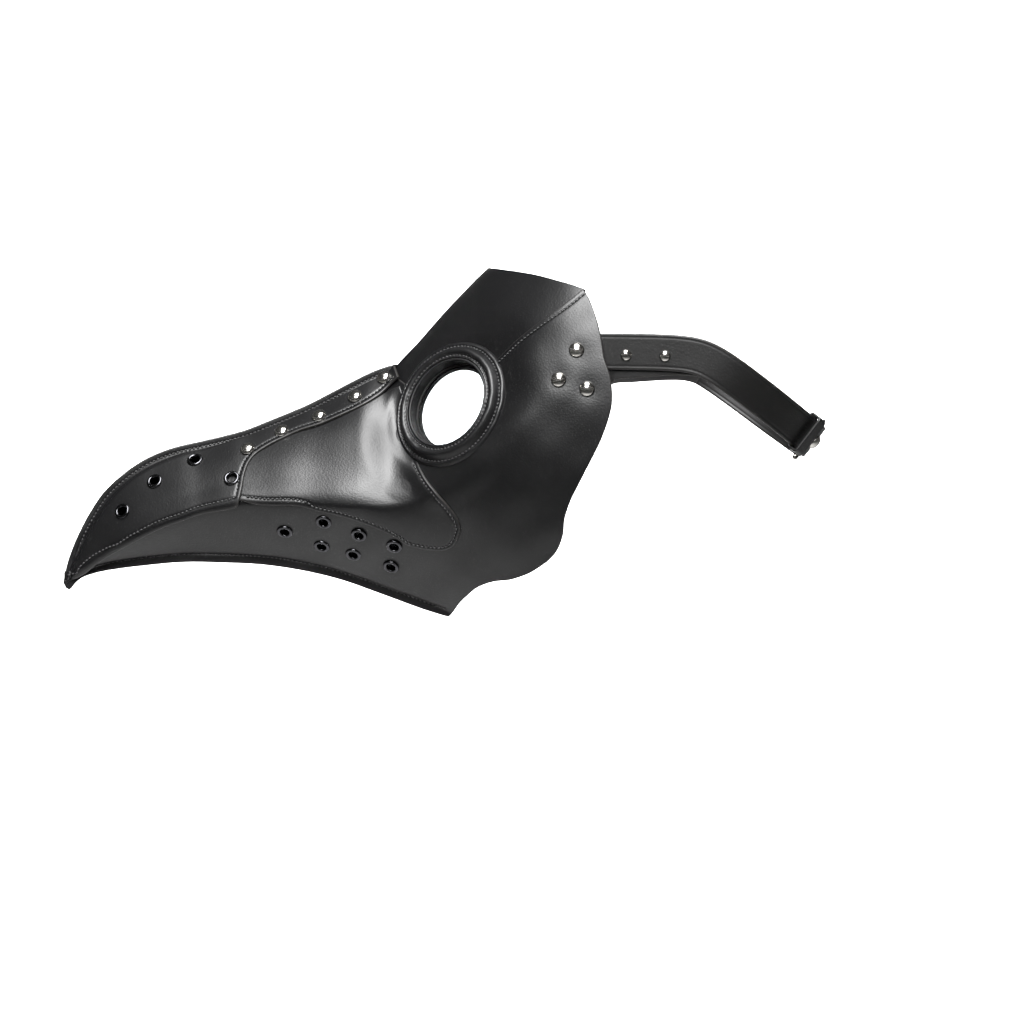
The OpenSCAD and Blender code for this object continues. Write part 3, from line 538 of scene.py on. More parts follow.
def both_sides(name, part, finish, body, replaced, cutters=()):
    """Left and right objects of one part, with {} for the side in its names. A part without an edge share
    gets zeros. A body's name may hold {} too."""
    made = []
    points, faces = part[:2]
    edge = part[2] if len(part) > 2 else np.zeros(len(points))
    for side in SIDES:
        p, f = (points, faces) if side == "left" else mirrored(points, faces)
        o = new_object(name.format(side), p, f, finish, edge)
        bore(o, [c if side == "left" else mirrored(*c) for c in cutters])
        settle(o, [node.format(side) for node in replaced], body and body.format(side))
        made.append(o)
    return made


def bore(o, solids):
    """Cuts closed solids, given as points and faces, out of an object."""
    for points, faces in solids:
        cutter = new_object("cutter", points, faces, o.data.materials[0])
        m = o.modifiers.new("cut", "BOOLEAN")
        m.operation = "DIFFERENCE"
        m.solver = "MANIFOLD"
        m.object = cutter
        done = bpy.data.meshes.new_from_object(o.evaluated_get(bpy.context.evaluated_depsgraph_get()))
        old = o.data
        o.modifiers.clear()
        o.data = done
        done.name = old.name
        bpy.data.objects.remove(cutter)
        bpy.data.meshes.remove(old)


# %% [markdown]
# ## Round parts
#
# A round part is a profile turned about its own axis, and it is set down wherever it is used by a frame of
# three directions. The same stamping puts every stitch in its row.

# %% Turned profiles, set down many times
def turned(profile, around=64):
    """The closed solid of a profile [r, z] turned about Z; one that starts and ends on Z has poles."""
    r, z = np.asarray(profile, float).T
    a = np.arange(around) * 2 * np.pi / around
    ring = np.stack([r[:, None] * np.cos(a), r[:, None] * np.sin(a), z[:, None] + 0 * a], -1)
    k = np.arange(len(r) * around).reshape(len(r), around)
    nxt = np.roll(k, -1, axis=1)
    if r[0] > 1e-6:
        return ring.reshape(-1, 3), [strips(np.concatenate([k, k[:1]]), np.concatenate([nxt, nxt[:1]]))]
    body = ring[1:-1].reshape(-1, 3)
    k = np.arange(len(body)).reshape(-1, around) + 1
    nxt = np.roll(k, -1, axis=1)
    last = len(body) + 1
    first_fan = np.stack([np.zeros(around, int), nxt[0], k[0]], 1)
    last_fan = np.stack([np.full(around, last), k[-1], nxt[-1]], 1)
    return np.concatenate([ring[0, :1], body, ring[-1, :1]]), [strips(k, nxt), first_fan, last_fan]


def frames(out, along=None):
    """Right-handed frames [X, Y, Z] as rows, with Z outward and X near the given direction."""
    out = np.atleast_2d(out)
    along = np.broadcast_to([0.0, 1.0, 0.0] if along is None else along, out.shape)
    x = unit(along - (along * out).sum(-1, keepdims=True) * out)
    return np.stack([x, np.cross(out, x), out], 1)


def stamped(shape, origins, turns):
    """Copies of one shape, each at its origin and in its frame, as one set of points and faces."""
    points, faces = shape
    placed = origins[:, None] + np.einsum("pk,nkj->npj", points, turns)
    shift = (np.arange(len(origins)) * len(points))[:, None, None]
    return placed.reshape(-1, 3), [(f[None] + shift).reshape(-1, f.shape[1]) for f in faces]


def on_form(places, h):
    """Where places [y, z] at height h are, and their frames."""
    p = np.asarray(places, float)
    return skin(p, np.broadcast_to(h, len(p))), frames(normal(p[:, 0], p[:, 1]))


def stitch_shape(length=2.0, radius=0.44):
    """One stitch along X: its radius is r (1 - t^4)^(1/2) and it dives by 0.5 t^2 mm, t from -1 to 1."""
    t = np.linspace(-1, 1, 9)[1:-1, None]
    a = np.arange(8) * np.pi / 4
    rr = radius * np.sqrt(1 - t**4)
    dive = radius * 0.55 - 0.5 * t**2
    ring = np.stack([length / 2 * t + 0 * a, rr * np.cos(a), rr * np.sin(a) + dive], -1).reshape(-1, 3)
    ends = np.array([[-length / 2, 0, radius * 0.55 - 0.5], [length / 2, 0, radius * 0.55 - 0.5]])
    k = np.arange(56).reshape(7, 8) + 1
    nxt = np.roll(k, -1, axis=1)
    quads = np.stack([k[:-1].ravel(), k[1:].ravel(), nxt[1:].ravel(), nxt[:-1].ravel()], 1)
    first = np.stack([np.zeros(8, int), k[0], nxt[0]], 1)
    last = np.stack([np.full(8, 57), nxt[-1], k[-1]], 1)
    return np.concatenate([ends[:1], ring, ends[1:]]), [quads, first, last]


STITCH = stitch_shape()
STITCH_PITCH = 2.45


def stitched(line, top):
    """A row of stitches along a line [y, z], a little sunk into a panel whose face is at this height."""
    face = lerp(np.broadcast_to(top, len(line)), FLANGE_FACE, flange_share(line))
    p, d = even(skin(line, face - 0.16), STITCH_PITCH)
    return stamped(STITCH, p, frames(normal(p[:, 1], p[:, 2]), d))


def joined(*parts):
    """Several sets of points and faces as one."""
    shift = np.cumsum([0] + [len(p) for p, _ in parts])
    return (np.concatenate([p for p, _ in parts]),
            [f + k for (_, faces), k in zip(parts, shift) for f in faces])


print("one stitch has", sum(len(f) for f in STITCH[1]), "faces")

# %% [markdown]
# ## The beak and the cheeks
#
# On each side one large panel makes the cheek and the underside of the beak. A leaf-shaped panel is laid
# on it, and a riveted cover lies over both along the ridge. The two sides meet in flanges sewn flat
# along the top and the bottom, with a thin core between them.

# %% Outlines, as [y, z] seen from the side
RIDGE_OUTER = [(-290.6, -83), (-290, -78.7), (-287.5, -69.4), (-284.4, -61), (-280.3, -51.8), (-275, -42),
               (-266.8, -30), (-254.4, -18.6), (-244, -11.6), (-233.7, -6.7), (-223.3, -3.3), (-208.8, 0),
               (-185.6, 5.8), (-168.4, 12.4), (-147, 21.4), (-127.6, 31.4), (-111, 39.8), (-101.5, 43.4),
               (-95, 44.9)]
KEEL_OUTER = [(-289.4, -86), (-287, -87.2), (-283.4, -83.2), (-278.7, -79.8), (-266.8, -76.4),
              (-244, -73.3), (-220, -71.2), (-197.4, -71.5), (-174.8, -72.6), (-151, -76), (-127.6, -81.6),
              (-104.4, -89.8), (-81.2, -98.3), (-67.5, -102.6), (-65, -103.1), (-63.2, -101.6)]
JAW = [(-57.8, -94.2), (-53, -89.6), (-47.2, -85), (-37.8, -81.7), (-30.5, -81), (-24.5, -79.6),
       (-16.5, -76.3), (-7.2, -70.3)]
SEAM_TOP = [(-96.5, 37), (-84, 29), (-73, 24), (-60, 24), (-50, 33), (-43, 40.2), (-35.1, 46.9),
            (-23.2, 58.2), (-11.2, 67.5), (0.1, 75.5), (13.5, 86.1)]
REAR_EDGE = track([(-7.2, -70.3), (-1.9, -64.3), (1.7, -55), (2.6, -45.7), (6.1, -35), (11.4, -24.4),
                   (17.5, -12.4), (23.4, -0.4), (28.1, 12.9), (29.8, 22.2), (28.8, 35.6), (25.4, 46.2),
                   (24.1, 55.5), (21.5, 67.5), (16.8, 80.8), (13.5, 86.1)])
COVER_LOW = [(-289.7, -85.2), (-284.4, -79.9), (-276, -73.2), (-266.8, -67), (-254.4, -60.6), (-243.5, -55),
             (-232, -49.7), (-220, -45.6), (-208.8, -41.9), (-197.4, -39.4), (-186.6, -37), (-185.2, -35.2),
             (-183.9, -30), (-182.9, -22.8), (-180.3, -15.5), (-176.7, -10.9), (-171.5, -7.3),
             (-162.5, -2.5), (-151, 2.5), (-139.3, 6.4), (-127.6, 11.4), (-116, 16.9), (-104.4, 24.1),
             (-97, 30.6), (-91.5, 35.4)]
LEAF_LOW = [(-206, -39), (-197, -37), (-188, -35.4), (-181, -36.2), (-169.4, -36.9), (-151, -37.4),
            (-139.3, -40.2), (-127.6, -42.4), (-116, -45.8), (-104.4, -50.2), (-96, -54.6), (-88.2, -59.6),
            (-81.5, -61.3), (-73.8, -62.4), (-66, -62.4), (-60.4, -59.6), (-56.6, -51.3)]
LEAF_TOP = [(-206, -23), (-196, -15), (-186.8, -9.5), (-180, -5.5), (-172, -2), (-162.5, 3), (-151, 8),
            (-139.3, 12), (-127.6, 17), (-116, 22.5), (-104.4, 28), (-92, 36)]
LEAF_REAR = [(-56.6, -51.3), (-58.2, -45.2), (-63.8, -37.4), (-70.5, -30.2), (-76, -23.6), (-79.6, -17.5),
             (-82.3, -12.1), (-84.5, -6), (-86.8, 2), (-88.5, 11), (-89.5, 20), (-92, 31)]


def under_ridge(ys, drop=2.6):
    return [(y, float(curve(RIDGE, y)) - drop) for y in ys]


def over_keel(ys, rise=2.6):
    return [(y, float(curve(KEEL, y)) + rise) for y in ys]


def walk(path, start=0.0, end=1.0, count=900):
    """Many points along a track."""
    return at(path, np.linspace(start, end, count))


def row_inside(edge, inward, inset):
    """A stitch row inset inside an outline, less the loops that a tight corner makes."""
    line = inset_line(edge, inward, inset)
    reach = np.linalg.norm(line - edge, axis=1)
    return line[distance(line, edge) > 0.94 * reach]


side_low = track(KEEL_OUTER + JAW)
side_top = track([(-289.9, -83.6), (-286.5, -80)] + under_ridge(
    [-282, -276, -267, -257, -241, -222, -207, -184, -166, -145, -125, -103]) + SEAM_TOP)
cover_low = track(COVER_LOW)
cover_top = track(RIDGE_OUTER)
leaf_low, leaf_top, leaf_rear = track(LEAF_LOW), track(LEAF_TOP), track(LEAF_REAR)

# %% Stitch rows
keel_edge = walk(track(KEEL_OUTER), 0.03, 0.995)
seam_edge = walk(track(SEAM_TOP[4:]), 0.2, 0.985, 420)
keel_row = row_inside(keel_edge, 1, 5.2)
seam_row = row_inside(seam_edge, -1, 3.0)
cover_row = row_inside(walk(cover_low, 0.012, 0.99), 1, 2.6)
ridge_row = row_inside(walk(cover_top, 0.02, 0.99), -1, 3.4)
leaf_row = row_inside(np.concatenate([walk(leaf_low, 0.02, 1.0), walk(leaf_rear, 0.02, 0.5)]), 1, 2.4)


def lifted(line):
    return skin(line, np.zeros(len(line)))


# %% Side panels
VENTS = [(-160, -52), (-137, -46.5), (-138.5, -60.5), (-116.5, -54), (-120, -65.3), (-96, -60.7),
         (-98, -72.5)]
TIP_PLACES = [(-254, -42.5), (-235.5, -25.5), (-212.5, -13.5), (-190, -24.5)]
RIDGE_PLACES = [(-181, -8.5), (-161, 2), (-139, 11), (-118, 22.5), (-101, 34)]
TEMPLE_PLACES = [(9.5, 51), (-0.8, 34), (15.4, 28.7)]
LEATHER = 1.7


def pits(p, places, depth, radius):
    """How the leather sinks round fittings: the sum of -depth exp(-(r / radius) ^ 2)."""
    away = np.linalg.norm(p[..., None, :] - np.asarray(places, float), axis=-1)
    return -depth * np.exp(-((away / radius) ** 2)).sum(-1)


def plug(r, low, high, around=40):
    return turned([(0, low), (r, low), (r, high), (0, high)], around)


def cutters_at(places, r, h=0.0, half=6.0):
    return [stamped(plug(r, -half, half), *on_form(places, h))]


EYE_FRAME = frames(EYE_OUT, [0, 0, 1])
eye_cutter = stamped(plug(28.3, -18, 18, 96), EYE[None], EYE_FRAME)

side_plan = ruled(side_low, side_top, REAR_EDGE, 250, 64)
side_relief = (waves(side_plan, 11, 0.34) * ease((side_plan[..., 0] + 250) / 120)
               + pits(side_plan, VENTS, 0.3, 6) + pits(side_plan, TEMPLE_PLACES, 0.55, 6.5))
BORE_R = 2.97
side_cutters = [eye_cutter, *cutters_at(VENTS, BORE_R), *cutters_at(TIP_PLACES, BORE_R)]
side = leather_sheet(side_plan, 0, LEATHER, [lifted(keel_row), lifted(seam_row)], side_relief)
both_sides("{}_side_panel_leather", side, panel_leather, "mask", ["{}_side_panel"],
           side_cutters)
print("side panel:", side_plan.shape, "points")

# %% The leaf and the cover
LEAF_LIFT = 1.55


def cover_lift(y):
    """The cover lies on the side panel at the tip and climbs over the skived front edge of the leaf."""
    return lerp(LEAF_LIFT, LEAF_LIFT + 1.65, ease((y + 212) / 26))


leaf_plan = ruled(leaf_low, leaf_top, leaf_rear, 110, 60)
dent = 2.0 * np.exp(-(((leaf_plan[..., 0] + 95) / 16) ** 2 + ((leaf_plan[..., 1] + 28) / 11) ** 2))
leaf_relief = waves(leaf_plan, 5, 0.3, 26, 80) - dent * ease(distance(leaf_plan, rim_of(leaf_plan)) / 12)
from_eye = np.linalg.norm(lifted(leaf_plan.reshape(-1, 2)) - EYE, axis=-1).reshape(leaf_plan.shape[:2])
skive = np.minimum(ease((from_eye - 38.5) / 7), ease((leaf_plan[..., 0] + 214) / 28))
leaf = leather_sheet(leaf_plan, LEAF_LIFT, LEAF_LIFT + lerp(0.5, LEATHER, skive), [lifted(leaf_row)],
                     np.maximum(leaf_relief * skive, -1.4))
both_sides("{}_beak_panel_leather", leaf, panel_leather, "mask", ["{}_beak_panel"])

cover_plan = ruled(cover_low, cover_top, None, 220, 34)
lift = cover_lift(cover_plan[..., 0])
cover_relief = waves(cover_plan, 8, 0.16) + pits(cover_plan, RIDGE_PLACES, 0.35, 6) + pits(
    cover_plan, TIP_PLACES, 0.3, 6)
cover = leather_sheet(cover_plan, lift, lift + LEATHER, [lifted(cover_row), lifted(ridge_row)], cover_relief,
                      on_top=1.1 * ease((-277 - cover_plan[..., 0]) / 7))
both_sides("{}_beak_cover_leather", cover, panel_leather, "mask", ["{}_beak_cover"],
           cutters_at(TIP_PLACES, BORE_R, 3.0))
print("leaf:", leaf_plan.shape, "cover:", cover_plan.shape)

# %% Cores of the flanges
ridge_low = track([(-289.8, -84.2), (-287, -80.5), (-284.5, -73)] + under_ridge(
    [-280, -276, -267, -257, -241, -222, -207, -184, -166, -145, -125, -103, -96.5], 0.4))
keel_high = track([(-289.2, -84.6), (-284.8, -79.4)] + over_keel(
    [-278, -266, -254, -232, -208, -185, -162, -139, -116, -93, -80, -70], 0.4))


def core(name, low, top):
    u = np.linspace(0.004, 0.996, 240)[:, None]
    v = np.linspace(0.05, 0.95, 9)[None, :, None]
    plan = lerp(at(low, u), at(top, u), v)
    half = np.full(plan.shape[:2], 0.56)
    outer = np.stack([half, plan[..., 0], plan[..., 1]], -1)
    points, faces = shell(outer, outer * [-1, 1, 1])
    settle(new_object(name + "_core", points, faces, strap_leather), [name], "mask")


core("ridge_welt", ridge_low, track(RIDGE_OUTER))
core("keel_welt", track(KEEL_OUTER), keel_high)

# %% [markdown]
# ## The forehead
#
# The forehead crosses the middle plane, so its grid runs from side to side. A column is an outline's
# share of the way down from the ridge, and its normals come from the grid itself, so that they turn
# smoothly at the top.

# %% Forehead and its lining
BROW_LOW = [(-98.5, 0), (-97, 34), (-86, 24), (-74, 19), (-60, 20), (-50, 29.5), (-42, 36.5), (-33, 44.4),
            (-21, 55.5), (-9, 64.8), (3, 73), (14, 82.5)]
BROW_TOP = [(-42, 0), (-39.5, 101), (-33, 99.8), (-24, 98.2), (-14, 96), (-2, 92.5), (14.4, 86.8)]


def brow_track(points):
    """An outline as [y, 100 q]: q^2 is the share of the way down from ridge to widest level."""
    y, z = np.asarray(points, float).T
    share = np.clip((curve(RIDGE, y) - z) / (curve(RIDGE, y) - curve(WIDEST, y)), 0, 1)
    share[0] = 0
    return track(np.stack([y, 100 * np.sqrt(share)], 1))


def brow_grid(us, vs):
    c = lerp(at(brow_track(BROW_LOW), np.abs(us)[:, None]), at(brow_track(BROW_TOP), np.abs(us)[:, None]),
             vs[None, :, None])
    q = c[..., 1] / 100
    z = lerp(curve(RIDGE, c[..., 0]), curve(WIDEST, c[..., 0]), q**2)
    x = np.sign(us)[:, None] * half_width(c[..., 0], z) * ease(np.abs(us)[:, None] * 40)
    return np.stack([x, c[..., 0], z], -1)


def lifted_grid(base, h):
    """The grid moved h along its own normals, the cross products of its two directions."""
    n = unit(np.cross(np.gradient(base, axis=0), np.gradient(base, axis=1)))
    return base + np.asarray(h)[..., None] * n


edge_v = spaced(60.0, 60)
side_u = np.concatenate([-np.linspace(1, 0.01, 110), [0.0], np.linspace(0.01, 1, 110)])
brow = brow_grid(side_u, edge_v)
away = distance(brow, rim_of(brow))
brow_relief = waves(brow[..., 1:], 21, 0.25, 30, 90)
brow_height = -0.15 - 0.9 * rounding(away, EDGE_ROUND) + brow_relief * (away > 0.7)
points, faces = shell(lifted_grid(brow, brow_height),
                      lifted_grid(brow, np.full(brow.shape[:2], -1.75)))
forehead = new_object("forehead_leather", points, faces, panel_leather, np.zeros(len(points)))
bore(forehead, [eye_cutter, mirrored(*eye_cutter)])
settle(forehead, ["forehead_panel"], "mask")

brow_in = brow_grid(side_u[8:-8], 0.09 + 0.83 * edge_v)
puff = waves(brow_in[..., 1:], 31, 0.22, 9, 30, 14)
points, faces = shell(lifted_grid(brow_in, np.full(brow_in.shape[:2], -1.85)),
                      lifted_grid(brow_in, -2.9 + puff))
brow_cloth = new_object("forehead_lining_cloth", points, faces, lining_cloth)
bore(brow_cloth, [eye_cutter, mirrored(*eye_cutter)])
settle(brow_cloth, ["forehead_lining"], "mask")

# %% Linings of the sides
lining_low = track(over_keel([-278, -266, -250, -232, -208, -185, -162, -139, -116, -93, -76], 3.4)
                   + [(-67.5, -95.5), (-62.5, -95.2), (-57.8, -91), (-53, -87), (-47.2, -82.5),
                      (-37.8, -79.2), (-30.5, -78.4), (-24.5, -77), (-16.5, -73.8), (-9.4, -69.5)])
lining_top = track(under_ridge([-277, -267, -257, -241, -222, -207, -184, -166, -145, -125, -103], 3.6)
                   + [(-96.5, 35), (-84, 27), (-73, 22), (-60, 22), (-50, 30.5), (-43, 37.5), (-35.1, 44.2),
                      (-23.2, 55.2), (-11.2, 64.5), (0.1, 72.5), (12, 81)])
lining_plan = ruled(lining_low, lining_top, track([(a - 2.6, b) for a, b in walk(REAR_EDGE, 0.0, 0.97, 30)]),
                    220, 70)
soft = waves(lining_plan, 17, 0.24, 8, 26, 16)
hem = groove(lifted(lining_plan.reshape(-1, 2)).reshape(*lining_plan.shape[:2], 3),
             [lifted(rim_of(lining_plan))], 0.5, 1.0)
lining = shell(skin(lining_plan, np.full(lining_plan.shape[:2], -0.12)),
               skin(lining_plan, -1.15 + soft + hem))
both_sides("{}_side_lining_cloth", lining, lining_cloth, "mask", ["{}_side_lining"], side_cutters)
print("forehead:", brow.shape, "lining:", lining_plan.shape)

# %% [markdown]
# ## Padded eye rings
#
# Each ring is thin leather over a foam roll, sewn down by two rows of stitches: the outer one holds a
# flat flange, the inner one divides the roll from a narrower lip. Its profile is a smooth closed curve
# through a few points, turned about the eye's axis, and the leather puckers in step with the stitches.

# %% Ring profile and puckers
RING_KNOTS = np.array([
    [27.55, -0.2], [31, -0.4], [35.5, -0.45], [38.0, -0.3], [38.55, 0.6], [38.45, 2.0], [37.7, 3.15],
    [36.6, 3.55], [35.55, 3.15], [34.9, 3.6], [34.1, 5.1], [32.9, 6.6], [31.6, 7.05], [30.4, 6.75],
    [29.5, 6.0], [29.0, 5.75], [28.4, 6.15], [27.85, 6.2], [27.55, 5.6], [27.5, 3.5], [27.55, -0.2]])
ROW_OUT, ROW_IN = 35.5, 29.05


def ring_grid(around=364, detail=4):
    """Points (turn, share of the profile) of a ring in its own frame. A profile point at radius r sinks
    by a (0.55 + 0.45 cos(n turn)) exp(-((r - row) / 0.7) ^ 2) at each row of n stitches, on its upper
    side only."""
    t = np.arange(len(RING_KNOTS), dtype=float)
    fine = np.linspace(0, len(t) - 1, (len(t) - 1) * detail + 1)[:-1]
    r = curve(np.stack([t, RING_KNOTS[:, 0]], 1), fine)[None]
    h = curve(np.stack([t, RING_KNOTS[:, 1]], 1), fine)[None]
    a = (np.arange(around) * 2 * np.pi / around)[:, None]
    upper = ease((h - 1.5) / 1.2)
    sink = 0
    for row, size in ((ROW_OUT, 0.42), (ROW_IN, 0.3)):
        n = round(2 * np.pi * row / STITCH_PITCH)
        sink = sink + size * (0.5 - 0.5 * np.cos(n * a)) * np.exp(-((r - row) / 0.8) ** 2)
    rng = np.random.default_rng(41)
    soft = sum(rng.uniform(0.05, 0.13) * np.sin(k * a + rng.uniform(0, 6.28)) * np.sin(0.45 * (r - 28) + k)
               for k in (2, 3, 5, 7, 11, 17, 23))
    fat = upper * (soft - sink)
    return np.stack([(r + 0 * a) * np.cos(a), (r + 0 * a) * np.sin(a), h + fat], -1)


ring = ring_grid()
k = np.arange(ring.shape[0] * ring.shape[1]).reshape(ring.shape[:2])
across_k, along_k = np.roll(k, -1, axis=1), np.roll(k, -1, axis=0)
ring_faces = np.stack([k.ravel(), along_k.ravel(), np.roll(across_k, -1, axis=0).ravel(), across_k.ravel()],
                      1)
ring_part = stamped((ring.reshape(-1, 3), [ring_faces]), EYE[None], EYE_FRAME)
for o in both_sides("{}_eye_ring_padded", ring_part, ring_leather, "mask", ["{}_eye_ring"]):
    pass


def ring_row(row, h):
    """Where the stitches of a ring's row lie, on the crests of its puckers."""
    n = round(2 * np.pi * row / STITCH_PITCH)
    a = np.arange(n) * 2 * np.pi / n
    out = np.stack([np.cos(a), np.sin(a), 0 * a], 1)
    p = out * row + np.array([0, 0, h])
    x = np.stack([-np.sin(a), np.cos(a), 0 * a], 1)
    z = np.tile([0.0, 0.0, 1.0], (n, 1))
    turns = np.stack([x, np.cross(z, x), z], 1)
    return EYE + p @ EYE_FRAME[0], turns @ EYE_FRAME[0]


# %% Thread
thread = joined(
    stitched(cover_row, cover_lift(cover_row[:, 0]) + LEATHER),
    stitched(ridge_row, cover_lift(ridge_row[:, 0]) + LEATHER),
    stitched(leaf_row[leaf_row[:, 0] > -182], LEAF_LIFT + LEATHER),
    *[stitched(line, LEATHER) for line in (keel_row, seam_row)],
    stamped(STITCH, *ring_row(ROW_OUT, 3.1)),
    stamped(STITCH, *ring_row(ROW_IN, 5.5)))
both_sides("{}_seam_thread", thread, seam_thread, "mask", [])
print("thread:", len(thread[0]) // len(STITCH[0]), "stitches on each side")

# %% [markdown]
# ## Windows
#
# The lens, its gasket and its retaining ring are exact in the frame, so they stay and only take their
# finish. The cup gets a rounded lip. The lens sits against the gasket, just under the leather.

# %% Eye cups and what they hold
def arc(cr, cz, radius, start, end, count=9):
    """Profile points round a centre, at angles in degrees from the r axis."""
    a = np.radians(np.linspace(start, end, count))
    return np.stack([cr + radius * np.cos(a), cz + radius * np.sin(a)], 1)


cup_profile = np.concatenate([[(27.1, -4.5), (27.4, -4.5)], [(27.4, 0)], arc(26.75, 5.2, 0.65, 0, 90),
                              arc(26.65, 5.2, 0.65, 90, 180), [(26, 5), (26, 2), (26, -0.6), (27.1, -0.6)]])
cup = stamped(turned(cup_profile, 160), EYE[None], EYE_FRAME)
both_sides("{}_eye_cup_moulding", cup, cup_abs, "mask", ["{}_eye_cup"])


def refinish(finish, *names):
    """Gives a CAD node its finish; its shape and its place stay as they are."""
    for name in names:
        slots = nodes[name].material_slots
        for s in slots:
            s.material = finish
        if not slots:
            nodes[name].data.materials.append(finish)


refinish(lens_acrylic, *[s + "_lens" for s in SIDES])
refinish(gasket_rubber, *[s + "_lens_gasket" for s in SIDES])
refinish(cup_abs, *[s + "_lens_retainer" for s in SIDES])
refinish(pressed_steel, *[f"{s}_{n}_washers" for s in SIDES for n in ("ridge", "tip", "temple", "strap")])
refinish(dark_nickel_and_painted_reflection, *[s + "_vent_washers" for s in SIDES])

# %% [markdown]
# ## Rivets and eyelets
#
# A rivet is a low dome with a turned-in rim, and an eyelet a collar rolled over into its barrel.
# Fifty-odd of them share a few profiles.

# %% Metal in the leather
def dome(d, grip):
    """A dome of diameter d, 0.34 d high: an ellipse above a short rounded rim."""
    r = d / 2
    top = arc(0, 0, 1, 12, 90, 22) * [r * 0.985, 0.34 * d - 0.3] + [0, 0.3]
    top[-1, 0] = 0
    rim = arc(r - 0.28, 0.3, 0.28, -90, 20, 6)
    return turned(np.concatenate([[(0, -grip), (1.5, -grip), (1.5, 0.0)], rim, top]), 48)


def rolled(grip, collar=4.8, bore_r=2.4):
    """An eyelet: its collar rises from the rim, rolls over and turns down into the barrel."""
    mid, half = (collar + bore_r) / 2 + 0.1, (collar - bore_r) / 2 - 0.1
    crest = np.stack([mid + half * np.cos(np.radians(np.linspace(8, 176, 22))),
                      0.1 + 1.2 * np.sin(np.radians(np.linspace(8, 176, 22))) ** 0.8], 1)
    return turned(np.concatenate([[(bore_r, -grip), (bore_r + 0.5, -grip), (bore_r + 0.5, 0.02),
                                   (collar - 0.2, 0.02)], crest, [(bore_r, -0.3)]]), 48)


def fittings(name, shape, places, h, finish, node):
    both_sides(name, stamped(shape, *on_form(places, h)), finish, "mask", [node])


ridge_h = cover_lift(np.array(RIDGE_PLACES)[:, 0]) + LEATHER - 0.3
tip_h = cover_lift(np.array(TIP_PLACES)[:, 0]) + LEATHER - 0.3
fittings("{}_ridge_rivets_domed", dome(9, 6.3), RIDGE_PLACES, ridge_h, nickel, "{}_ridge_rivets")
fittings("{}_temple_rivets_domed", dome(9, 6.4), TEMPLE_PLACES, LEATHER - 0.4, nickel,
         "{}_temple_rivets")
# Tip eyelets: bright nickel drawn with the dark plate, a painted reflection of the dim room.
fittings("{}_tip_eyelets_rolled", rolled(5.6), TIP_PLACES, tip_h, dark_nickel_and_painted_reflection, "{}_tip_eyelets")
fittings("{}_vent_eyelets_rolled", rolled(4.3), VENTS, LEATHER - 0.25, dark_nickel_and_painted_reflection,
         "{}_vent_eyelets")

# %% [markdown]
# ## Straps
#
# The strap follows one line: straight back from the temple, sloping down, and round a corner to the
# middle of the back. The left strap folds round the buckle's bar, and the right one ends in a trimmed
# tail with holes.

# %% The line of the strap
START_Y, STRAP_Z = 33.3, 51.0
TEMPLE_X, SIDE_X, CORNER_R, BACK_Y = 75.015, 80.5, 58.0, 148.0
CORNER = np.array([SIDE_X - CORNER_R, BACK_Y - CORNER_R])
SIDE_RUN = CORNER[1] - START_Y
CORNER_RUN = CORNER_R * np.pi / 2
HEEL_S, TAIL_S = SIDE_RUN + CORNER_RUN + CORNER[0] - 14, SIDE_RUN + CORNER_RUN + CORNER[0] - 18
HALF_W, HALF_T = 10.5, 1.0
BEND_Y, BEND_SOFT = 82, 12
FALL = math.tan(math.radians(38))


def strap_mid(s):
    """Its middle at length s: x eases from the temple's to the side's, then a quarter circle, then
    straight. Its height falls as tan(38) (d + sqrt(d^2 + 12^2)) / 2, with d = y - 82. Under the cheek,
    x follows the leather."""
    s = np.asarray(s, float)
    a = np.clip((s - SIDE_RUN) / CORNER_R, 0, np.pi / 2)
    past = np.maximum(s - SIDE_RUN - CORNER_RUN, 0)
    x = np.where(s < SIDE_RUN, lerp(TEMPLE_X, SIDE_X, ease(s / SIDE_RUN)),
                 CORNER[0] + CORNER_R * np.cos(a) - past)
    y = np.where(s < SIDE_RUN, START_Y + s, CORNER[1] + CORNER_R * np.sin(a))
    under = half_width(y, np.full(y.shape, STRAP_Z)) - 2.85
    x = np.where(s < 6, lerp(under, x, ease((s + 8) / 12)), x)
    d = y - BEND_Y
    z = STRAP_Z - FALL * (d + np.sqrt(d * d + BEND_SOFT**2)) / 2
    return np.stack([x, y, z], -1)


def strap_frame(s):
    """Rows: along the strap, across it (upward) and outward. Across leans back with the strap's slope."""
    s = np.asarray(s, float)
    along = unit(strap_mid(s + 0.5) - strap_mid(s - 0.5))
    d = strap_mid(s)[..., 1] - BEND_Y
    g = FALL * (1 + d / np.sqrt(d * d + BEND_SOFT**2)) / 2
    up = unit(np.stack([0 * g, g, 1 + 0 * g], -1))
    up = unit(up - (up * along).sum(-1, keepdims=True) * along)
    return np.stack([along, up, np.cross(along, up)], -2)


def strap_at(s, w, h):
    f = strap_frame(s)
    return strap_mid(s) + np.asarray(w)[..., None] * f[..., 1, :] + np.asarray(h)[..., None] * f[..., 2, :]


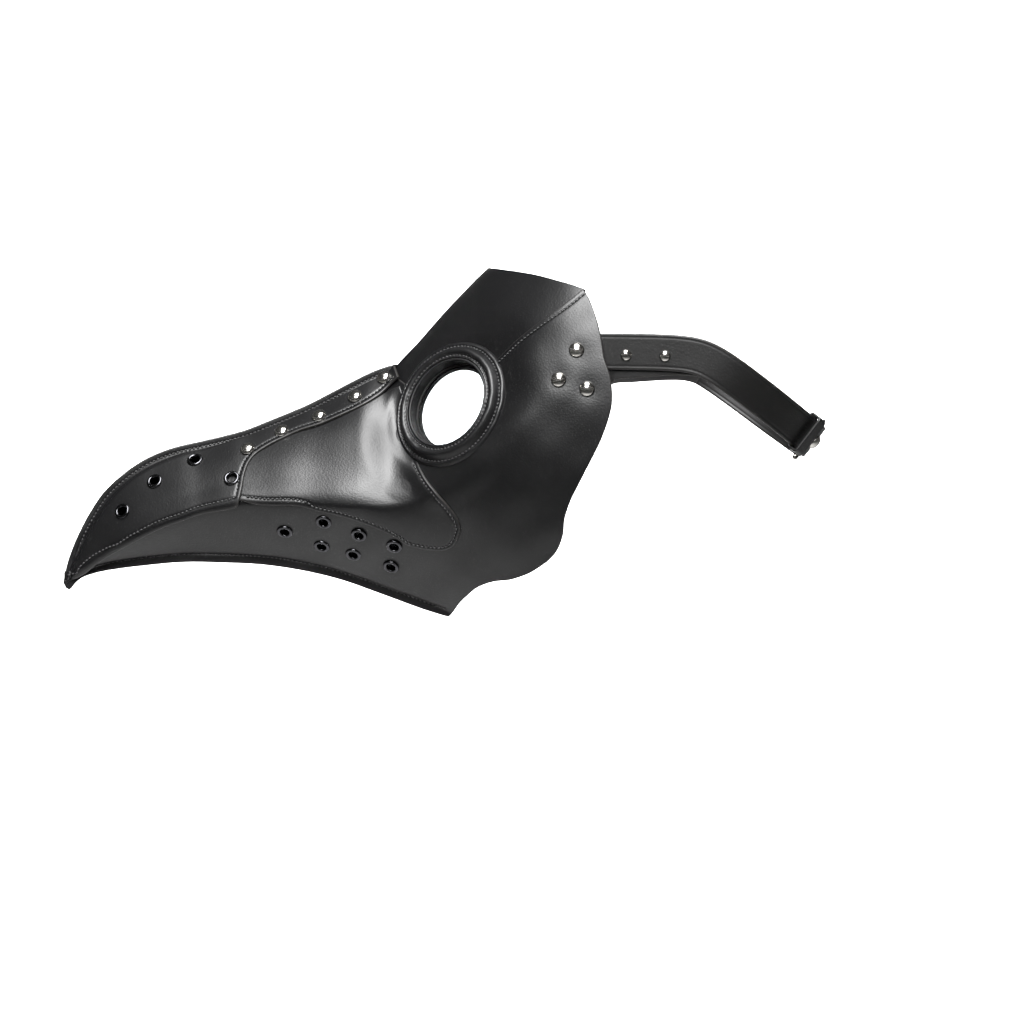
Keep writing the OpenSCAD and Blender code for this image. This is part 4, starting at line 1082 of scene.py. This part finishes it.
def band(mid, up, out, half_w):
    """A strap's solid: its section is a rounded rectangle with a pressed line 2.2 mm inside each edge.
    Its normals look outward for a section that runs from the outer face over the top edge."""
    u = np.linspace(-1, 1, 41)
    hw = np.broadcast_to(half_w, len(mid))[:, None]
    inset = (1 - np.abs(u)) * hw
    near = np.clip(1 - inset / 0.8, 0, 1)
    face = HALF_T - 0.55 * (1 - np.sqrt(1 - near**2)) - 0.2 * np.exp(-((inset - 2.2) / 0.35) ** 2)
    outer = mid[:, None] + (u * hw)[..., None] * up[:, None] + face[..., None] * out[:, None]
    inner = mid[:, None] + (u * hw)[..., None] * up[:, None] - (face + 0.02)[..., None] * out[:, None]
    edge = np.exp(-(inset / 0.6) ** 2)
    points, faces = shell(outer, inner)
    return points, faces, np.concatenate([edge.ravel(), edge.ravel()])


def strap_waves(s, seed):
    rng = np.random.default_rng(seed)
    return sum(rng.uniform(0.05, 0.2) * np.sin(s / size + rng.uniform(0, 6))
               for size in (5.0, 8.3, 13.0, 21.0))


# %% Left strap, folded round the bar
BAR_H, FOLD_R = -2.8, 1.8
over = np.concatenate([np.linspace(-13, HEEL_S - 4, 240), np.linspace(HEEL_S - 3.8, HEEL_S, 12)])
turn = np.radians(np.linspace(8, 172, 22))
back = np.linspace(0, 26, 50)
heel = strap_frame(HEEL_S)
bar = strap_at(HEEL_S, 0.0, BAR_H)
gap = lerp(2 * FOLD_R, 0.25, ease(back / 26 * 1.9))
round_bar = np.cos(turn)[:, None] * heel[2] + np.sin(turn)[:, None] * heel[0]
mids = np.concatenate([
    strap_at(over, 0 * over, strap_waves(over, 3) * ease((HEEL_S - 20 - over) / 20) * ease((over - 34) / 14)),
    bar + (FOLD_R + HALF_T) * round_bar,
    strap_at(HEEL_S - back, 0 * back, -gap - 2 * HALF_T)])
ups = np.concatenate([strap_frame(over)[:, 1], np.tile(heel[1], (len(turn), 1)),
                      strap_frame(HEEL_S - back)[:, 1]])
outs = np.concatenate([strap_frame(over)[:, 2], round_bar, -strap_frame(HEEL_S - back)[:, 2]])
points, faces, edge = band(mids, ups, outs, HALF_W)
left_strap = new_object("left_strap_leather", points, faces, strap_leather, edge)
round_slot, slot_faces = plug(1.9, -12, 12, 32)
long_slot = (round_slot * [3.6, 1, 1], slot_faces)
bore(left_strap, [stamped(long_slot, strap_at(HEEL_S, 0.0, 0.0)[None], heel[None])])
settle(left_strap, ["left_strap"])
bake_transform(left_strap)

# %% Right strap, with its holes and trimmed tail
run = np.concatenate([np.linspace(-13, TAIL_S - 12, 230),
                      TAIL_S - 12 * (1 - np.linspace(0, 1, 40)[1:] ** 0.7)])
to_tip = np.clip((TAIL_S - run) / 12, 0, 1)
wide = HALF_W * (0.16 + 0.84 * np.sqrt(1 - (1 - to_tip) ** 2.2))
fr = strap_frame(run)
mids = strap_at(run, 0 * run, strap_waves(run, 9) * ease((run - 34) / 14))
points, faces, edge = band(mids, fr[:, 1], fr[:, 2], wide)
hole_s = TAIL_S - 8 - 12 * np.arange(1, 6)
hole = stamped(plug(1.5, -5, 5, 28), strap_at(hole_s, 0 * hole_s, 0 * hole_s), strap_frame(hole_s))
right_strap = new_object("right_strap_leather", *mirrored(points, faces), strap_leather, edge)
bore(right_strap, [mirrored(*hole)])
settle(right_strap, ["right_strap"])
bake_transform(right_strap)

# %% Tabs under the temples
TAB_LOW = track([(-15, 31), (-9, 25), (2, 22), (16, 21.5), (24, 27), (32, 34.8), (44, 36.2), (58, 37.6),
                 (72, 39), (87, 40.5)])
TAB_TOP = track([(-15, 40), (-9, 50), (2, 58), (14, 61), (24, 61.5), (32, 61.5), (44, 61.5), (58, 61.5),
                 (72, 61.5), (87, 61.5)])


def tab_points(plan, depth):
    """Points of the tab: under the cheek it lies on the lining, and then it turns in under the strap."""
    y, z = plan[..., 0], plan[..., 1]
    on_mask = skin(plan, -1.35 - depth - 1.9 * ease((y - 12) / 9))
    on_strap = strap_at(y - START_Y, z - STRAP_Z, -1.15 - depth)
    return lerp(on_mask, on_strap, ease((y - 20) / 12)[..., None])


tab_u = spaced(100.0, 100)[:, None]
tab_v = spaced(np.linalg.norm(at(TAB_TOP, tab_u) - at(TAB_LOW, tab_u), axis=-1)[:, 0], 26)
tab_plan = lerp(at(TAB_LOW, tab_u), at(TAB_TOP, tab_u), tab_v[..., None])
outer = tab_points(tab_plan, np.zeros(tab_plan.shape[:2]))
from_rim = distance(outer, rim_of(outer))
edge = np.exp(-((from_rim / 0.5) ** 2)).ravel()
tab = (*shell(tab_points(tab_plan, rounding(from_rim, 0.6) * 0.8),
              tab_points(tab_plan, 1.65 + 0 * from_rim)), np.concatenate([edge, edge]))
tabs = both_sides("{}_tab_leather", tab, strap_leather, None,
                  ["{}_strap_tab", "{}_strap_backing"])
for o, side in zip(tabs, SIDES):
    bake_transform(o)

# %% Keeper, strap rivets and fold rivet
def loop_section(half_w, half_h, radius, count=12):
    """A rounded rectangle as points [w, h], from its right side round by the top."""
    corners = [(1, 1, 0), (-1, 1, 90), (-1, -1, 180), (1, -1, 270)]
    return np.concatenate([arc(sx * (half_w - radius), sy * (half_h - radius), radius, a, a + 90, count)
                           for sx, sy, a in corners])


def hoop(inner, outer, half_len, soften=0.35):
    """A closed band between two outlines of the same count, with softened rims; x runs along the strap."""
    centre = (inner + outer) / 2
    rows = [(-half_len + soften, inner), (-half_len, lerp(inner, centre, 0.6)),
            (-half_len, lerp(outer, centre, 0.6)), (-half_len + soften, outer),
            (half_len - soften, outer), (half_len, lerp(outer, centre, 0.6)),
            (half_len, lerp(inner, centre, 0.6)), (half_len - soften, inner)]
    grid = np.stack([np.column_stack([np.full(len(o), x), o]) for x, o in rows])
    k = np.arange(grid.shape[0] * grid.shape[1]).reshape(grid.shape[:2])
    a, b = np.roll(k, -1, axis=0), np.roll(k, -1, axis=1)
    quads = np.stack([k.ravel(), a.ravel(), np.roll(a, -1, axis=1).ravel(), b.ravel()], 1)
    return grid.reshape(-1, 3), [quads]


keeper_s = HEEL_S - 36
inner = loop_section(11.0, 2.7, 1.0) + [0, 1.2]
outer = loop_section(12.5, 4.2, 2.3) + [0, 1.2]
points, faces = stamped(hoop(inner, outer, 4.0), strap_at(keeper_s, 0.0, 0.0)[None],
                        strap_frame(keeper_s)[None])
keeper = new_object("keeper_leather", points, faces, strap_leather, np.zeros(len(points)))
settle(keeper, ["strap_keeper"], "left_strap")

rivet_s = np.array([4.5, 27.0])
small = stamped(dome(6.5, 3.9), strap_at(rivet_s, 0 * rivet_s - 2, 0 * rivet_s + 1.0), strap_frame(rivet_s))
both_sides("{}_strap_rivets_domed", small, nickel, "{}_strap", ["{}_strap_rivets"])

fold_s = HEEL_S - 19
fold = stamped(dome(9, 5.6), strap_at(fold_s, 0.0, 1.0)[None], strap_frame(fold_s)[None])
settle(new_object("fold_rivet_domed", *fold, nickel), ["fold_rivet"], "left_strap")
print("left strap:", len(mids), "sections up to the tail of the right one")

# %% [markdown]
# ## The buckle
#
# The frame is a cast U with rounded limbs, joined by the bar that the strap folds over, and the prong is a
# tapered wire bent round the bar.

# %% Buckle frame and prong
def swept(path, section, side_of):
    """A solid along a path: its section [a, b] lies along side_of, a direction per point, and their cross."""
    d = unit(np.gradient(path, axis=0))
    a = unit(side_of - (side_of * d).sum(-1, keepdims=True) * d)
    b = np.cross(d, a)
    grid = path[:, None] + section[..., 0, None] * a[:, None] + section[..., 1, None] * b[:, None]
    n, m = grid.shape[:2]
    k = np.arange(n * m).reshape(n, m)
    nxt = np.roll(k, -1, axis=1)
    caps = [np.stack([np.full(m, n * m), nxt[0], k[0]], 1),
            np.stack([np.full(m, n * m + 1), k[-1], nxt[-1]], 1)]
    return np.concatenate([grid.reshape(-1, 3), path[:1], path[-1:]]), [strips(k, nxt), *caps]


def round_path(corners, radius, count=12):
    """A path through corners in the plane, each turned on an arc that starts this far before it."""
    c = np.asarray(corners, float)
    out = [c[0]]
    t = np.linspace(0, 1, count)[:, None]
    for before, corner, after in zip(c[:-2], c[1:-1], c[2:]):
        a = corner + unit(before - corner) * radius
        b = corner + unit(after - corner) * radius
        out.extend((1 - t) ** 2 * a + 2 * t * (1 - t) * corner + t**2 * b)
    return np.array(out + [c[-1]])


at_bar = bar[None], heel[None]
limb = round_path([(-2.2, -13.2, 0), (17.5, -13.2, 0), (17.5, 13.2, 0), (-2.2, 13.2, 0)], 5.0)
limb = np.concatenate([limb[:1], limb[:1] + [0.4, 0, 0], limb[1:-1], limb[-1:] + [0.4, 0, 0], limb[-1:]])
oval = loop_section(1.45, 1.3, 1.05, 7)
swell = np.ones(len(limb))
swell[[0, -1]] = 0.72
frame_shape = swept(limb, oval[None] * swell[:, None, None], np.tile([0.0, 0.0, 1.0], (len(limb), 1)))
upright, pin_faces = plug(1.5, -13.4, 13.4)
pin = (upright[:, [0, 2, 1]] * [1, 1, -1], pin_faces)
buckle = new_object("buckle_frame_cast", *stamped(joined(frame_shape, pin), *at_bar), zinc_nickel)
settle(buckle, ["buckle_frame"], "buckle")

wrap = np.radians(np.linspace(-250, 62, 34)) + np.pi / 2 + 0.55
tip = np.array([(3.2, 0, 2.25), (6, 0, 2.2), (9, 0, 2.2), (12, 0, 2.2), (15, 0, 2.2), (17.6, 0, 2.2),
                (18.2, 0, 2.2)])
coil = np.stack([-2.35 * np.cos(wrap), 0 * wrap, 2.35 * np.sin(wrap)], 1)
spine = np.concatenate([coil, tip])
thin = np.concatenate([np.linspace(0.6, 1, 6), np.ones(len(spine) - 8), [0.6, 0.25]])
wire = loop_section(0.75, 1.25, 0.6, 6)
beside = np.cross(unit(np.gradient(spine, axis=0)), [0.0, 1.0, 0.0])
prong_shape = stamped(swept(spine, wire[None] * thin[:, None, None], beside), *at_bar)
prong = new_object("buckle_prong_wire", *prong_shape, zinc_nickel)
settle(prong, ["buckle_prong"], "prong")

# %% [markdown]
# ## The studio
#
# A wide pale floor curves up into a round backdrop. One softbox hangs overhead and a second one stands
# high on the camera's side. Both are small against a dim room, so black leather stays black between its
# highlights. A third light washes only the backdrop behind the mask.

# %% Floor and light
def paper_build(tree, at):
    fibre = add(tree, "TexNoise", {"Scale": per_mm(3), "Detail": 4.0}, Vector=at)
    tone = between(tree, "#f2f2f2", "#fafafa", fibre.outputs["Fac"])
    return add(tree, "BsdfPrincipled", {"Roughness": 0.9}, Base_Color=tone)


AROUND = 96
FLOOR_Z = -760
r, z = np.concatenate([arc(4950, FLOOR_Z + 1200, 1200, -90, 0, 24), [(6150, 3200)]]).T
a = np.arange(AROUND) * 2 * np.pi / AROUND
wall = np.stack([r[:, None] * np.cos(a), r[:, None] * np.sin(a), z[:, None] + 0 * a], -1)
k = np.arange(len(r) * AROUND).reshape(-1, AROUND) + 1
nxt = np.roll(k, -1, axis=1)
fan = np.stack([np.zeros(AROUND, int), k[0], nxt[0]], 1)
backdrop = new_object("backdrop", np.concatenate([[(0, 0, FLOOR_Z)], wall.reshape(-1, 3)]),
                      [strips(k, nxt)[:, ::-1], fan], finish_of("background_paper", paper_build))


def softbox(name, place, aim, size, watts, grid_deg):
    """A square area light at a place, facing a point, in metres; its grid holds the beam to an angle."""
    light = bpy.data.lights.new(name, "AREA")
    light.size = size
    light.spread = math.radians(grid_deg)
    light.energy = watts
    o = bpy.data.objects.new(name, light)
    bpy.context.scene.collection.objects.link(o)
    o.location = place
    o.rotation_euler = (Vector(aim) - Vector(place)).to_track_quat("-Z", "Y").to_euler()


softbox("overhead_softbox", (0.6, -0.1, 1.3), (0, -0.1, 0), 0.8, 8, 80)
softbox("front_softbox", (1.5, -0.25, 1.2), (0, -0.1, 0), 0.9, 10, 70)
softbox("backdrop_wash", (-3.4, 0, 1.5), (-6.1, 0, -0.1), 2.0, 70, 52)
world = bpy.data.worlds.new("studio_air")
bpy.context.scene.world = world
world.use_nodes = True
world.node_tree.nodes["Background"].inputs["Color"].default_value = linear("#ffffff")
world.node_tree.nodes["Background"].inputs["Strength"].default_value = 0.06
bpy.context.scene.view_settings.view_transform = "Standard"

# %% Camera
SENSOR_MM = 36
TO_LEATHER = 3.96
VIEW_WIDTH = 0.594
camera = bpy.data.cameras.new("camera")
camera.lens = SENSOR_MM * TO_LEATHER / VIEW_WIDTH
camera.clip_end = 30
view = bpy.data.objects.new("camera", camera)
bpy.context.scene.collection.objects.link(view)
view.location = (4.0, -0.0278, -0.0418)
view.rotation_euler = (math.pi / 2, 0, math.pi / 2)
bpy.context.scene.camera = view
